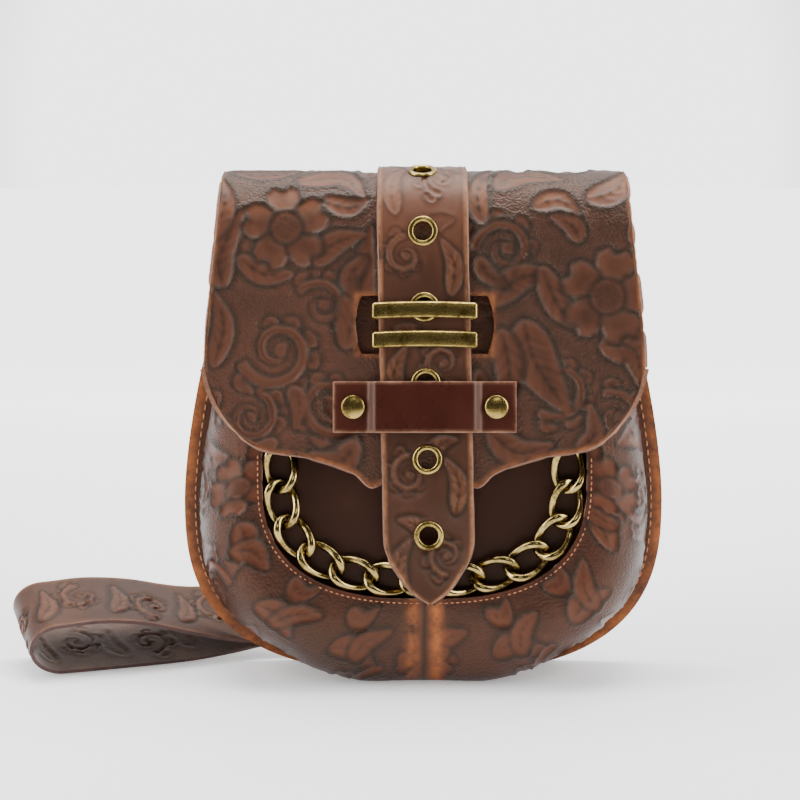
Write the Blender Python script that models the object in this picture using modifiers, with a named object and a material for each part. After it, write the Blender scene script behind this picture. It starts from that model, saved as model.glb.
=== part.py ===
"""A small leather flap bag with a closure strap and a curb chain across its front window.

Metres, +Z up. The bag stands on the floor at z = 0 and faces -Y. The origin is the middle of its base.
"""

import math

import bmesh
import bpy
from mathutils import Matrix, Vector

MM = 0.001

# Leather and fits
LEATHER = 2.0 * MM
GAP = 0.3 * MM

# Body outline, seen from the front
BODY_HALF_WIDTH = 112.8 * MM
WIDEST_Z = 78.0 * MM
OUTLINE_DROP = 83.5 * MM
OUTLINE_ROUNDNESS = 2.7
MOUTH_HALF_WIDTH = 86.8 * MM
MOUTH_Z = 202.0 * MM
BACK_TOP_Z = 212.0 * MM
BACK_Y = 24.0 * MM
FLANGE = 9.0 * MM

# Front face, which leans back from its foot
FACE_LEAN = math.radians(8.0)
FACE_FOOT_Y = -40.5 * MM
FACE_FOOT_Z = -3.0 * MM
SHOULDER_SIDE = 26.0 * MM
SHOULDER_BASE = 38.0 * MM
SHOULDER_ROUNDNESS = 2.3
SAG = 14.0 * MM
SAG_FULL = 22.0 * MM
SAG_END = 72.0 * MM

# Window in the front, a rounded U
WINDOW_HALF_WIDTH = 73.0 * MM
WINDOW_MIDDLE = 101.0 * MM
WINDOW_DROP = 54.5 * MM
WINDOW_RISE = 34.0 * MM
WINDOW_ROUNDNESS = 2.6
WINDOW_TOP_ROUNDNESS = 5.0
RECESS = 8.4 * MM

# Flap
FLAP_LIFT = 1.6 * MM
CREST_Z = 231.6 * MM
FRONT_BEND = 28.0 * MM
FLAP_BACK_END_Z = 177.0 * MM
FLAP_TOP_HALF_WIDTH = 91.6 * MM
FLAP_HALF_WIDTH = 98.5 * MM
FLAP_SIDE_V = 150.0 * MM
FLAP_CORNER_HALF_WIDTH = 74.0 * MM
FLAP_EDGE_V = 113.0 * MM
FLAP_TIP_DROP = 16.0 * MM
CUTOUT_V = 169.4 * MM
CUTOUT_HALF_HEIGHT = 13.0 * MM
CUTOUT_HALF_WIDTH = 28.2 * MM
CUTOUT_BULGE = 2.8 * MM

# Closure strap and what holds it
STRAP_WIDTH = 39.6 * MM
STRAP_SKEW = math.radians(1.15)
STRAP_BACK_END_Z = 181.0 * MM
STRAP_TAPER_V = 75.0 * MM
STRAP_TIP_V = 44.5 * MM
EYELET_PITCH = 34.0 * MM
EYELET_FIRST_V = 211.2 * MM
EYELET_OUTER = 13.5 * MM
EYELET_HOLE = 8.3 * MM
EYELET_BARREL = 9.8 * MM
EYELET_PROUD = 1.2 * MM
LOOP_WIDTH = 47.5 * MM
LOOP_HEIGHT = 7.3 * MM
LOOP_WALL = 1.8 * MM
LOOP_PITCH = 13.0 * MM
LOOP_V = 168.9 * MM
KEEPER_WIDTH = 82.0 * MM
KEEPER_HEIGHT = 23.0 * MM
KEEPER_V = 132.6 * MM
RIVET_SPREAD = 64.0 * MM
RIVET_CAP = 10.7 * MM
RIVET_SHANK = 4.0 * MM

# Curb chain
LINK_COUNT = 13
LINK_PITCH = 16.0 * MM
LINK_HALF_LENGTH = 10.1 * MM
LINK_HALF_WIDTH = 6.4 * MM
LINK_TWIST = 2.5 * MM
LINK_WIRE = 2.9 * MM
CHAIN_INSET = 8.0 * MM
CHAIN_DEPTH = 4.1 * MM
STAPLE_WIRE = 2.0 * MM

# Hanging loop behind the bag
HANG_WIDTH = 40.0 * MM
HANG_LEATHER = 1.8 * MM
HANG_LENGTH = 193.0 * MM
HANG_END_X = 12.0 * MM
HANG_HEIGHT = 26.5 * MM
HANG_SEAT_Z = 8.0 * MM
HANG_YAW = 0.4
HANG_REACH = 36.0 * MM

TINTS = {
    "leather": ((0.16, 0.055, 0.03), 0.55, 0.0),
    "smooth_leather": ((0.07, 0.018, 0.01), 0.45, 0.0),
    "brass": ((0.45, 0.34, 0.13), 0.32, 1.0),
}


def material(name):
    """One Principled material for each tint."""
    found = bpy.data.materials.get(name)
    if found:
        return found
    colour, roughness, metallic = TINTS[name]
    made = bpy.data.materials.new(name)
    made.use_nodes = True
    shader = made.node_tree.nodes["Principled BSDF"]
    shader.inputs["Base Color"].default_value = (*colour, 1.0)
    shader.inputs["Roughness"].default_value = roughness
    shader.inputs["Metallic"].default_value = metallic
    return made


def clear_scene():
    for thing in list(bpy.data.objects):
        bpy.data.objects.remove(thing, do_unlink=True)


def collection(name):
    made = bpy.data.collections.new(name)
    bpy.context.scene.collection.children.link(made)
    return made


def add_object(name, mesh, tint, group, smooth_angle=35.0):
    made = bpy.data.objects.new(name, mesh)
    group.objects.link(made)
    mesh.materials.clear()
    mesh.materials.append(material(tint))
    mesh.shade_smooth()
    mesh.set_sharp_from_angle(angle=math.radians(smooth_angle))
    return made


# Places on the leaning face

def face_point(x, v, n):
    """x across, v up the leaning face, n out of it towards the viewer."""
    s, c = math.sin(FACE_LEAN), math.cos(FACE_LEAN)
    return Vector((x, FACE_FOOT_Y + v * s - n * c, FACE_FOOT_Z + v * c + n * s))


def face_matrix(x, v, n):
    """Local X across, local Y out of the face, local Z down the face."""
    s, c = math.sin(FACE_LEAN), math.cos(FACE_LEAN)
    turned = Matrix(((1, 0, 0), (0, -c, -s), (0, s, -c))).to_4x4()
    return Matrix.Translation(face_point(x, v, n)) @ turned


def face_y(z):
    return FACE_FOOT_Y + (z - FACE_FOOT_Z) * math.tan(FACE_LEAN)


def smooth_step(value, low, high):
    t = min(max((value - low) / (high - low), 0.0), 1.0)
    return t * t * (3.0 - 2.0 * t)


def blend(table, position, column):
    """A smooth curve through one column of a table whose first column is the position."""
    last = len(table) - 1
    k = 0
    while k < last - 1 and position > table[k + 1][0]:
        k += 1
    x0, x1 = table[k][0], table[k + 1][0]
    y0, y1 = table[k][column], table[k + 1][column]
    before = table[max(k - 1, 0)]
    after = table[min(k + 2, last)]
    m0 = (y1 - before[column]) / (x1 - before[0])
    m1 = (after[column] - y0) / (after[0] - x0)
    t = min(max((position - x0) / (x1 - x0), 0.0), 1.0)
    h = x1 - x0
    return ((1 + 2 * t) * (1 - t) ** 2 * y0 + t * (1 - t) ** 2 * h * m0
            + t * t * (3 - 2 * t) * y1 - t * t * (1 - t) * h * m1)


# Mesh helpers

def sheet(name, rows, outward, wall, tint, group, offset=-1.0):
    """An open sheet lofted through rows of points, with a Solidify modifier for its wall."""
    work = bmesh.new()
    grid = [[work.verts.new(p) for p in row] for row in rows]
    for upper, lower in zip(grid, grid[1:]):
        for a, b, c, d in zip(upper, upper[1:], lower[1:], lower):
            work.faces.new((a, b, c, d))
    bmesh.ops.remove_doubles(work, verts=work.verts, dist=1e-6)
    bmesh.ops.dissolve_degenerate(work, edges=work.edges, dist=1e-6)
    bmesh.ops.recalc_face_normals(work, faces=work.faces)
    total = sum((f.normal.dot(outward(f.calc_center_median())) * f.calc_area() for f in work.faces), 0.0)
    if total < 0:
        bmesh.ops.reverse_faces(work, faces=work.faces)
    mesh = bpy.data.meshes.new(name)
    work.to_mesh(mesh)
    work.free()
    made = add_object(name, mesh, tint, group)
    solid = made.modifiers.new("wall", "SOLIDIFY")
    solid.thickness = wall
    solid.offset = offset
    solid.use_even_offset = True
    solid.use_quality_normals = True
    return made


def prism(name, loops, thickness, matrix, tint, group):
    """A flat outline, with any holes, given a thickness along its local Z."""
    curve = bpy.data.curves.new(name, "CURVE")
    curve.dimensions = "2D"
    curve.fill_mode = "BOTH"
    curve.extrude = thickness / 2.0
    for loop in loops:
        spline = curve.splines.new("POLY")
        spline.points.add(len(loop) - 1)
        for point, (x, y) in zip(spline.points, loop):
            point.co = (x, y, 0.0, 1.0)
        spline.use_cyclic_u = True
    made = mesh_from_curve(name, curve, tint, group)
    made.matrix_world = matrix
    return made


def mesh_from_curve(name, curve, tint, group):
    """A curve's filled shape as a welded mesh object."""
    guide = bpy.data.objects.new(name + ".curve", curve)
    bpy.context.scene.collection.objects.link(guide)
    evaluated = guide.evaluated_get(bpy.context.evaluated_depsgraph_get())
    mesh = bpy.data.meshes.new_from_object(evaluated)
    bpy.data.objects.remove(guide, do_unlink=True)
    work = bmesh.new()
    work.from_mesh(mesh)
    bmesh.ops.remove_doubles(work, verts=work.verts, dist=1e-6)
    bmesh.ops.recalc_face_normals(work, faces=work.faces)
    work.to_mesh(mesh)
    work.free()
    return add_object(name, mesh, tint, group)


def tube(name, points, diameter, closed, resolution, tint, group):
    """A round wire along points."""
    curve = bpy.data.curves.new(name, "CURVE")
    curve.dimensions = "3D"
    curve.bevel_depth = diameter / 2.0
    curve.bevel_resolution = resolution
    curve.use_fill_caps = True
    spline = curve.splines.new("POLY")
    spline.points.add(len(points) - 1)
    for point, place in zip(spline.points, points):
        point.co = (*place, 1.0)
    spline.use_cyclic_u = closed
    return mesh_from_curve(name, curve, tint, group)


def turned(name, profile, matrix, steps, tint, group):
    """A profile of (radius, height) pairs, top to bottom down its outer side, turned about local Z."""
    work = bmesh.new()
    ring = [work.verts.new((r, 0.0, h)) for r, h in profile]
    for a, b in zip(ring, ring[1:]):
        work.edges.new((a, b))
    if profile[0][0] > 0:
        work.edges.new((ring[-1], ring[0]))
    mesh = bpy.data.meshes.new(name)
    work.to_mesh(mesh)
    work.free()
    made = add_object(name, mesh, tint, group)
    made.matrix_world = matrix
    screw = made.modifiers.new("turn", "SCREW")
    screw.steps = steps
    screw.render_steps = steps
    screw.use_merge_vertices = True
    screw.merge_threshold = 1e-5
    return made


def cut(target, cutter):
    cutter.hide_render = True
    cutter.display_type = "WIRE"
    step = target.modifiers.new("cut " + cutter.name, "BOOLEAN")
    step.operation = "DIFFERENCE"
    step.solver = "EXACT"
    step.object = cutter


def hole_cutter(name, matrix, diameter, depth, group, sides=24):
    """A round cutter along the local Z of its matrix."""
    work = bmesh.new()
    bmesh.ops.create_cone(work, cap_ends=True, segments=sides, radius1=diameter / 2, radius2=diameter / 2,
                          depth=depth)
    mesh = bpy.data.meshes.new(name)
    work.to_mesh(mesh)
    work.free()
    made = add_object(name, mesh, "leather", group)
    made.matrix_world = matrix
    return made


# Outlines

def rounded(half_width, roundness, turn):
    """A quarter of a rounded outline: across and up shares at a turn from 0 to 90 degrees."""
    return (half_width * max(math.cos(turn), 0.0) ** (2 / roundness),
            max(math.sin(turn), 0.0) ** (2 / roundness))


def body_half_width(z):
    rise = (z - WIDEST_Z) / (MOUTH_Z - WIDEST_Z)
    return BODY_HALF_WIDTH - (BODY_HALF_WIDTH - MOUTH_HALF_WIDTH) * max(rise, 0.0) ** 1.6


def body_outline(top_z, upper_steps=6, lower_steps=15):
    """(x, z) from the left top, round the base, to the right top."""
    right = []
    for k in range(lower_steps + 1):
        turn = math.radians(90.0 * (1 - k / lower_steps))
        x, drop = rounded(BODY_HALF_WIDTH, OUTLINE_ROUNDNESS, turn)
        right.append((x, max(WIDEST_Z - OUTLINE_DROP * drop, 0.0)))
    for k in range(1, upper_steps + 1):
        z = WIDEST_Z + (top_z - WIDEST_Z) * k / upper_steps
        right.append((body_half_width(z), z))
    return [(-x, z) for x, z in reversed(right[1:])] + right


def window_loop(inset, steps=12):
    """(x, v) round the window's outline, moved inwards by inset."""
    loop = []
    for k in range(4 * steps):
        turn = 2 * math.pi * k / (4 * steps)
        upper = math.sin(turn) > 0
        reach = WINDOW_RISE if upper else WINDOW_DROP
        roundness = WINDOW_TOP_ROUNDNESS if upper else WINDOW_ROUNDNESS
        quarter = math.atan2(abs(math.sin(turn)), abs(math.cos(turn)))
        x, share = rounded(WINDOW_HALF_WIDTH - inset, roundness, quarter)
        up = share * (reach - inset)
        loop.append((math.copysign(x, math.cos(turn)), WINDOW_MIDDLE + math.copysign(up, math.sin(turn))))
    return loop


# Body

def back_panel(group):
    """The flat back, which stands on the floor at its lower edge."""
    outline = body_outline(BACK_TOP_Z)
    standing = Matrix.Translation((0, BACK_Y - LEATHER / 2, 0)) @ Matrix.Rotation(math.radians(90), 4, "X")
    return prism("back_panel", [outline], LEATHER, standing, "leather", group)


def front_row(x, z, shoulder_steps=8, inner_steps=3):
    """Points from the sewn edge at (x, z) over the shoulder to the bag's middle line."""
    edge_y = BACK_Y - 2 * LEATHER - GAP
    target_z = max(z, WINDOW_MIDDLE)
    reach = math.hypot(x, target_z - z)
    across, up = -x / reach, (target_z - z) / reach
    shoulder = SHOULDER_SIDE + (SHOULDER_BASE - SHOULDER_SIDE) * up ** 2
    stations = [(0.0, 0.0), (FLANGE, 0.0)]
    for k in range(1, shoulder_steps + 1):
        turn = math.radians(90.0 * k / shoulder_steps)
        stations.append((FLANGE + shoulder * (1 - math.cos(turn) ** (2 / SHOULDER_ROUNDNESS)),
                         math.sin(turn) ** (2 / SHOULDER_ROUNDNESS)))
    start = FLANGE + shoulder
    for k in range(1, inner_steps + 1):
        stations.append((start + (reach - start) * k / inner_steps, 1.0))
    row = []
    for inward, share in stations:
        px, pz = x + across * inward, z + up * inward
        sag = SAG * math.sin(math.pi * share ** 1.3) * (1 - smooth_step(abs(px), SAG_FULL, SAG_END))
        lowered = max(pz - sag * (1 - smooth_step(pz, WINDOW_DROP * 0.6, WIDEST_Z)), 0.0)
        row.append((px, edge_y + (face_y(pz) - edge_y) * share, lowered))
    return row


def front_frame(group, cutters):
    """Front and gusset in one sheet: a flange sewn to the back, a rounded shoulder and the windowed face."""
    rows = [front_row(x, z) for x, z in body_outline(MOUTH_Z)]
    middle = Vector((0, BACK_Y, WINDOW_MIDDLE))
    made = sheet("front_frame", rows, lambda p: p - middle, LEATHER, "leather", group)
    window = prism("cutter.window", [window_loop(0.0)], 40 * MM, face_matrix(0, 0, 0), "leather", cutters)
    window.matrix_world = face_matrix(0, 0, 0) @ Matrix.Rotation(math.radians(-90), 4, "X")
    cut(made, window)
    return made


def front_insert(group):
    """The smooth panel behind the window, stepped back to make room for the chain."""
    # Columns: inset from the window, depth behind the face, both in mm
    rings = ((-5.2, -3.5), (-3.4, -3.2), (-2.2, -4.0), (-1.2, -RECESS / MM), (12.0, -RECESS / MM),
             (28.0, -RECESS / MM))
    rows = []
    for inset, depth in rings:
        loop = window_loop(inset * MM, 8)
        rows.append([face_point(x, v, depth * MM) for x, v in loop + loop[:1]])
    rows.append([face_point(0, WINDOW_MIDDLE, -RECESS)] * len(rows[0]))
    return sheet("front_insert", rows, lambda p: Vector((0, -1, 0)), LEATHER, "smooth_leather", group)


# Flap and strap share one path over the top

def wrap_path(lift, front_v, back_z, front_steps, bend_steps=12, back_steps=6):
    """(y, z) from the back end, over the top, to v = front_v, at a height of lift above the frame's face."""
    bend_v = bend_start_v()
    centre = face_point(0, bend_v, FLAP_LIFT + LEATHER / 2 - FRONT_BEND)
    above = lift - FLAP_LIFT - LEATHER / 2
    back_y = BACK_Y + GAP + LEATHER / 2
    back_bend = back_y - centre.y
    back_centre_z = CREST_Z - back_bend
    path = [(back_y + above, back_z + (back_centre_z - back_z) * k / 3) for k in range(3)]
    for k in range(back_steps):
        turn = math.radians(90.0 * k / back_steps)
        path.append((centre.y + (back_bend + above) * math.cos(turn),
                     back_centre_z + (back_bend + above) * math.sin(turn)))
    sweep = math.radians(90.0) - FACE_LEAN
    for k in range(bend_steps):
        turn = math.radians(90.0) + sweep * k / bend_steps
        path.append((centre.y + (FRONT_BEND + above) * math.cos(turn),
                     centre.z + (FRONT_BEND + above) * math.sin(turn)))
    for k in range(front_steps + 1):
        point = face_point(0, bend_v + (front_v - bend_v) * k / front_steps, lift)
        path.append((point.y, point.z))
    return path


def bend_start_v():
    """Where the flap's front starts to bend over the top."""
    bend_n = FLAP_LIFT + LEATHER / 2 - FRONT_BEND
    return (CREST_Z - FRONT_BEND - FACE_FOOT_Z - bend_n * math.sin(FACE_LEAN)) / math.cos(FACE_LEAN)


def flap_edge(share):
    """(x, v) on the flap's lower boundary at a share from -1 to 1 across it."""
    # Columns: share across, share of the half width, share of the side height above the edge, tip share
    table = ((0.00, 0.000, 0.0, 0.86), (0.17, 0.172, 0.0, 0.84), (0.24, 0.243, 0.0, 1.02),
             (0.31, 0.310, 0.0, 0.66), (0.42, 0.430, 0.0, 0.36), (0.52, 0.550, 0.0, 0.16),
             (0.66, 0.700, 0.0, 0.02), (0.78, 0.815, 0.13, 0.0), (0.88, 0.912, 0.42, 0.0),
             (0.95, 0.968, 0.70, 0.0), (1.00, 1.000, 1.00, 0.0))
    place = abs(share)
    x = FLAP_HALF_WIDTH * blend(table, place, 1)
    v = (FLAP_EDGE_V + (FLAP_SIDE_V - FLAP_EDGE_V) * blend(table, place, 2)
         - FLAP_TIP_DROP * blend(table, place, 3))
    return math.copysign(x, share), v


def flap_columns():
    """Shares across the flap, closer together at the two tips of its lower edge."""
    right = (0.0, 0.09, 0.17, 0.21, 0.24, 0.275, 0.31, 0.36, 0.42, 0.52, 0.60, 0.66, 0.72, 0.78, 0.83, 0.88, 0.92,
             0.96, 1.0)
    return [-s for s in reversed(right[1:])] + list(right)


def flap(group, cutters):
    """The flap: sewn to the back, over the top and down the front to its scalloped lower edge."""
    lift = FLAP_LIFT + LEATHER / 2
    path = wrap_path(lift, FLAP_SIDE_V, FLAP_BACK_END_Z, 4)
    columns = flap_columns()
    straight = FACE_FOOT_Z + FLAP_SIDE_V * math.cos(FACE_LEAN)
    rows = []
    for y, z in path:
        side = smooth_step(CREST_Z - z, 0.0, CREST_Z - straight) if y < BACK_Y / 2 else 0.0
        half = FLAP_TOP_HALF_WIDTH + (FLAP_HALF_WIDTH - FLAP_TOP_HALF_WIDTH) * side
        rows.append([(half * blend_share(s), y, z) for s in columns])
    for k in range(1, 7):
        row = []
        for s in columns:
            x, v = flap_edge(s)
            x0 = FLAP_HALF_WIDTH * blend_share(s)
            t = k / 6
            row.append(face_point(x0 + (x - x0) * t, FLAP_SIDE_V + (v - FLAP_SIDE_V) * t, lift))
        rows.append(row)
    middle = face_point(0, WINDOW_MIDDLE, -FRONT_BEND)
    made = sheet("flap", rows, lambda p: p - middle, LEATHER, "leather", group, offset=0.0)
    cut(made, cutout_cutter(cutters))
    for side in (-1, 1):
        place = face_matrix(side * RIVET_SPREAD / 2, KEEPER_V, lift) @ Matrix.Rotation(math.radians(90), 4, "X")
        cut(made, hole_cutter(f"cutter.flap_rivet_{side}", place, RIVET_SHANK + 2 * GAP, 4 * LEATHER, cutters, 16))
    return made


def blend_share(share):
    """The flap's columns follow its lower edge, so they stay straight down the front."""
    x, _ = flap_edge(share)
    return x / FLAP_HALF_WIDTH


def cutout_cutter(cutters):
    """The barrel-shaped opening in the flap, where the two metal loops sit."""
    side = []
    for k in range(9):
        up = -1 + 2 * k / 8
        side.append((CUTOUT_HALF_WIDTH + CUTOUT_BULGE * (1 - up * up), CUTOUT_V + CUTOUT_HALF_HEIGHT * up))
    loop = side + [(-x, v) for x, v in reversed(side)]
    place = face_matrix(0, 0, FLAP_LIFT) @ Matrix.Rotation(math.radians(-90), 4, "X")
    return prism("cutter.cutout", [loop], 6 * LEATHER, place, "leather", cutters)


def strap_lift(v):
    """How high the strap's middle stands above the frame's face at v: it settles below the flap."""
    high = FLAP_LIFT + LEATHER + GAP + LEATHER / 2
    low = 2 * GAP + LEATHER / 2
    return low + (high - low) * smooth_step(v, STRAP_TIP_V + 5 * MM, FLAP_EDGE_V - FLAP_TIP_DROP)


def strap_shift(v):
    """The strap hangs a little askew, about the metal loops."""
    return (LOOP_V - v) * math.tan(STRAP_SKEW)


def strap_width_share(v):
    # Columns: share of the taper, share of the half width
    table = ((0.0, 1.0), (0.15, 0.985), (0.33, 0.91), (0.55, 0.71), (0.80, 0.44), (1.0, 0.05))
    taper = (STRAP_TAPER_V - v) / (STRAP_TAPER_V - STRAP_TIP_V)
    return blend(table, taper, 1) if taper > 0 else 1.0


def eyelet_matrix(index):
    """Where eyelet 1 to 6 sits: local Z points out of the strap's middle surface."""
    v = EYELET_FIRST_V + EYELET_PITCH * (2 - index)
    start = bend_start_v()
    if v <= start:
        s = (strap_lift(v + MM) - strap_lift(v - MM)) / (2 * MM)
        lean = FACE_LEAN - math.atan(s)
        point = face_point(strap_shift(v), v, strap_lift(v))
    else:
        lift = strap_lift(start)
        centre_n = FLAP_LIFT + LEATHER / 2 - FRONT_BEND
        radius = lift - centre_n
        lean = FACE_LEAN + (v - start) / radius
        centre = face_point(0, start, centre_n)
        point = centre + Vector((0, -math.cos(lean), math.sin(lean))) * radius
        point.x = strap_shift(start)
    return Matrix.Translation(point) @ Matrix.Rotation(math.radians(90) - lean, 4, "X")


def closure_strap(group, cutters):
    """The strap over the top and down the front, with its pointed tip and its eyelet holes."""
    top_lift = strap_lift(bend_start_v())
    path = wrap_path(top_lift, bend_start_v(), STRAP_BACK_END_Z, 1)[:-1]
    half = STRAP_WIDTH / 2
    top_shift = strap_shift(bend_start_v())
    rows = [[(top_shift + half * s, y, z) for s in (-1, 0, 1)] for y, z in path]
    steps = 26
    for k in range(1, steps + 1):
        v = bend_start_v() + (STRAP_TIP_V - bend_start_v()) * (k / steps) ** 0.9
        wide = half * strap_width_share(v)
        rows.append([face_point(strap_shift(v) + wide * s, v, strap_lift(v)) for s in (-1, 0, 1)])
    middle = face_point(0, WINDOW_MIDDLE, -FRONT_BEND)
    made = sheet("closure_strap", rows, lambda p: p - middle, LEATHER, "leather", group, offset=0.0)
    for index in range(1, 7):
        cut(made, hole_cutter(f"cutter.eyelet_{index}", eyelet_matrix(index), EYELET_BARREL + 2 * GAP,
                              4 * LEATHER, cutters))
    return made


def eyelet(index, group):
    """A rolled eyelet: a rounded rim on the strap and a barrel through it."""
    top = LEATHER / 2 + EYELET_PROUD
    seat = LEATHER / 2 + GAP
    outer, hole, barrel = EYELET_OUTER / 2, EYELET_HOLE / 2, EYELET_BARREL / 2
    profile = ((hole + 0.25 * (outer - hole), top), (hole + 0.70 * (outer - hole), top),
               (outer - 0.08 * (outer - hole), top - 0.3 * EYELET_PROUD), (outer, seat + 0.2 * EYELET_PROUD),
               (outer - 0.05 * (outer - hole), seat), (barrel, seat), (barrel, -LEATHER / 2), (hole, -LEATHER / 2),
               (hole, top - 0.3 * EYELET_PROUD))
    return turned(f"eyelet_{index}", profile, eyelet_matrix(index), 20, "brass", group)


def strap_loop(name, v, group):
    """A flat rectangular metal loop round the strap."""
    inner_low = strap_lift(v) - LEATHER / 2 - 1.3 * GAP
    inner_high = strap_lift(v) + LEATHER / 2 + EYELET_PROUD + 1.3 * GAP
    low, high = inner_low - LOOP_WALL, inner_high + LOOP_WALL
    middle = (low + high) / 2
    outer = rounded_box(LOOP_WIDTH / 2, (high - low) / 2, 1.4 * MM)
    inner = rounded_box(STRAP_WIDTH / 2 + 2 * GAP, (inner_high - inner_low) / 2, 0.5 * MM)
    made = prism(name, [outer, inner], LOOP_HEIGHT, face_matrix(0, v, middle), "brass", group)
    return made


def rounded_box(half_x, half_y, radius, steps=3):
    loop = []
    for quarter in range(4):
        cx = (half_x - radius) * (1 if quarter in (0, 3) else -1)
        cy = (half_y - radius) * (1 if quarter in (0, 1) else -1)
        for k in range(steps + 1):
            turn = math.radians(90.0 * (quarter + k / steps))
            loop.append((cx + radius * math.cos(turn), cy + radius * math.sin(turn)))
    return loop


def keeper_band(group, cutters):
    """The leather band riveted to the flap on both sides of the strap, which passes under it."""
    seat = FLAP_LIFT + LEATHER + GAP + LEATHER / 2
    raised = strap_lift(KEEPER_V) + LEATHER + EYELET_PROUD + GAP
    half = STRAP_WIDTH / 2
    stations = [half * s for s in (0.0, 0.55, 0.95, 1.06)]
    stations += [half * 1.06 + (RIVET_SPREAD / 2 - RIVET_CAP / 2 - half * 1.06) * s for s in (0.25, 0.5, 0.75, 1.0)]
    stations += [RIVET_SPREAD / 2, KEEPER_WIDTH / 2]
    rows = []
    for x in [-s for s in reversed(stations[1:])] + stations:
        n = raised - (raised - seat) * smooth_step(abs(x), stations[3], stations[7])
        rows.append([face_point(x, KEEPER_V + KEEPER_HEIGHT * s, n) for s in (-0.5, 0.0, 0.5)])
    made = sheet("keeper_band", rows, lambda p: Vector((0, -1, 0)), LEATHER, "smooth_leather", group, offset=0.0)
    for side in (-1, 1):
        place = face_matrix(side * RIVET_SPREAD / 2, KEEPER_V, seat) @ Matrix.Rotation(math.radians(90), 4, "X")
        cut(made, hole_cutter(f"cutter.keeper_rivet_{side}", place, RIVET_SHANK + 2 * GAP, 4 * LEATHER, cutters, 16))
    return made


def keeper_rivet(name, side, group):
    """A domed cap rivet through the keeper and the flap, with a flat head behind the flap."""
    front = FLAP_LIFT + 2 * LEATHER + 2 * GAP
    back = FLAP_LIFT - GAP
    cap, shank = RIVET_CAP / 2, RIVET_SHANK / 2
    rise = 2.0 * MM
    head = 0.9 * MM
    profile = ((0.0, front + rise), (0.45 * cap, front + 0.93 * rise), (0.80 * cap, front + 0.66 * rise),
               (cap, front + 0.25 * rise), (cap, front), (shank, front), (shank, back), (0.8 * cap, back),
               (0.8 * cap, back - head), (0.0, back - head))
    place = face_matrix(side * RIVET_SPREAD / 2, KEEPER_V, 0.0) @ Matrix.Rotation(math.radians(-90), 4, "X")
    return turned(name, profile, place, 20, "brass", group)


# Chain

def chain_route():
    """Link centres (x, v), a pitch apart, along a U inside the window's rim."""
    loop = window_loop(CHAIN_INSET, 60)
    bottom = min(range(len(loop)), key=lambda k: (loop[k][1], abs(loop[k][0])))
    turnings = loop[bottom:] + loop[:bottom]
    right = [(0.0, turnings[0][1])] + [p for p in turnings[1:] if p[0] > 0 and p[1] < WINDOW_MIDDLE]
    right.append((WINDOW_HALF_WIDTH - CHAIN_INSET, WINDOW_MIDDLE + 4 * LINK_PITCH))
    places = [right[0]]
    k = 0
    while len(places) < (LINK_COUNT + 1) // 2:
        x0, v0 = places[-1]
        while math.hypot(right[k + 1][0] - x0, right[k + 1][1] - v0) < LINK_PITCH:
            k += 1
        low, high = 0.0, 1.0
        for _ in range(40):
            t = (low + high) / 2
            x = right[k][0] + (right[k + 1][0] - right[k][0]) * t
            v = right[k][1] + (right[k + 1][1] - right[k][1]) * t
            if math.hypot(x - x0, v - v0) < LINK_PITCH:
                low = t
            else:
                high = t
        places.append((x, v))
    return [(-x, v) for x, v in reversed(places[1:])] + places


def link_directions(route):
    turns = []
    for k in range(len(route)):
        a, b = route[max(k - 1, 0)], route[min(k + 1, len(route) - 1)]
        turns.append(math.atan2(b[1] - a[1], b[0] - a[0]))
    return turns


def chain_link(index, centre, turn, group, sides=16):
    """One twisted link of a curb chain, flat against the insert."""
    points = []
    for k in range(sides):
        t = 2 * math.pi * k / sides
        along, wide = LINK_HALF_LENGTH * math.cos(t), LINK_HALF_WIDTH * math.sin(t)
        x = centre[0] + along * math.cos(turn) - wide * math.sin(turn)
        v = centre[1] + along * math.sin(turn) + wide * math.cos(turn)
        points.append(face_point(x, v, -CHAIN_DEPTH + LINK_TWIST * math.sin(2 * t)))
    return tube(f"chain_link_{index:02d}", points, LINK_WIRE, True, 1, "brass", group)


def chain_anchor(name, centre, turn, group):
    """A wire staple over the end of the last link, with both legs on the insert."""
    clear = (LINK_WIRE + STAPLE_WIRE) / 2 + 2.5 * GAP
    top = -CHAIN_DEPTH + clear
    foot = -RECESS + GAP
    profile = [(-clear, foot), (-clear, -CHAIN_DEPTH), (-0.75 * clear, top - 0.35 * clear), (0.0, top),
               (0.75 * clear, top - 0.35 * clear), (clear, -CHAIN_DEPTH), (clear, foot)]
    points = []
    for along, n in profile:
        reach = LINK_HALF_LENGTH + along
        points.append(face_point(centre[0] + reach * math.cos(turn), centre[1] + reach * math.sin(turn), n))
    return tube(name, points, STAPLE_WIRE, False, 2, "brass", group)


# Hanging loop

def hang_base(x):
    """Near edge place and tilt of the loop's lower run at x."""
    # Columns: share of the length from the sewn end, share of the reach to the back, seat height share, tilt
    table = ((0.000, 1.00, 1.00, 90.0), (0.200, 1.00, 1.00, 90.0), (0.250, 1.005, 1.00, 89.0),
             (0.311, 1.06, 0.95, 80.0), (0.383, 1.10, 0.85, 60.0), (0.466, 1.05, 0.66, 40.0),
             (0.539, 0.92, 0.40, 29.0), (0.632, 0.74, 0.18, 23.0), (0.788, 0.42, 0.13, 20.0),
             (1.000, 0.0, 0.13, 20.0))
    share = (HANG_END_X - x) / HANG_LENGTH
    seat_y = BACK_Y + GAP + HANG_LEATHER / 2 + HANG_LEATHER + GAP
    near_y = seat_y - HANG_REACH + HANG_REACH * blend(table, share, 1)
    return near_y, HANG_SEAT_Z * blend(table, share, 2), math.radians(blend(table, share, 3))


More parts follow.
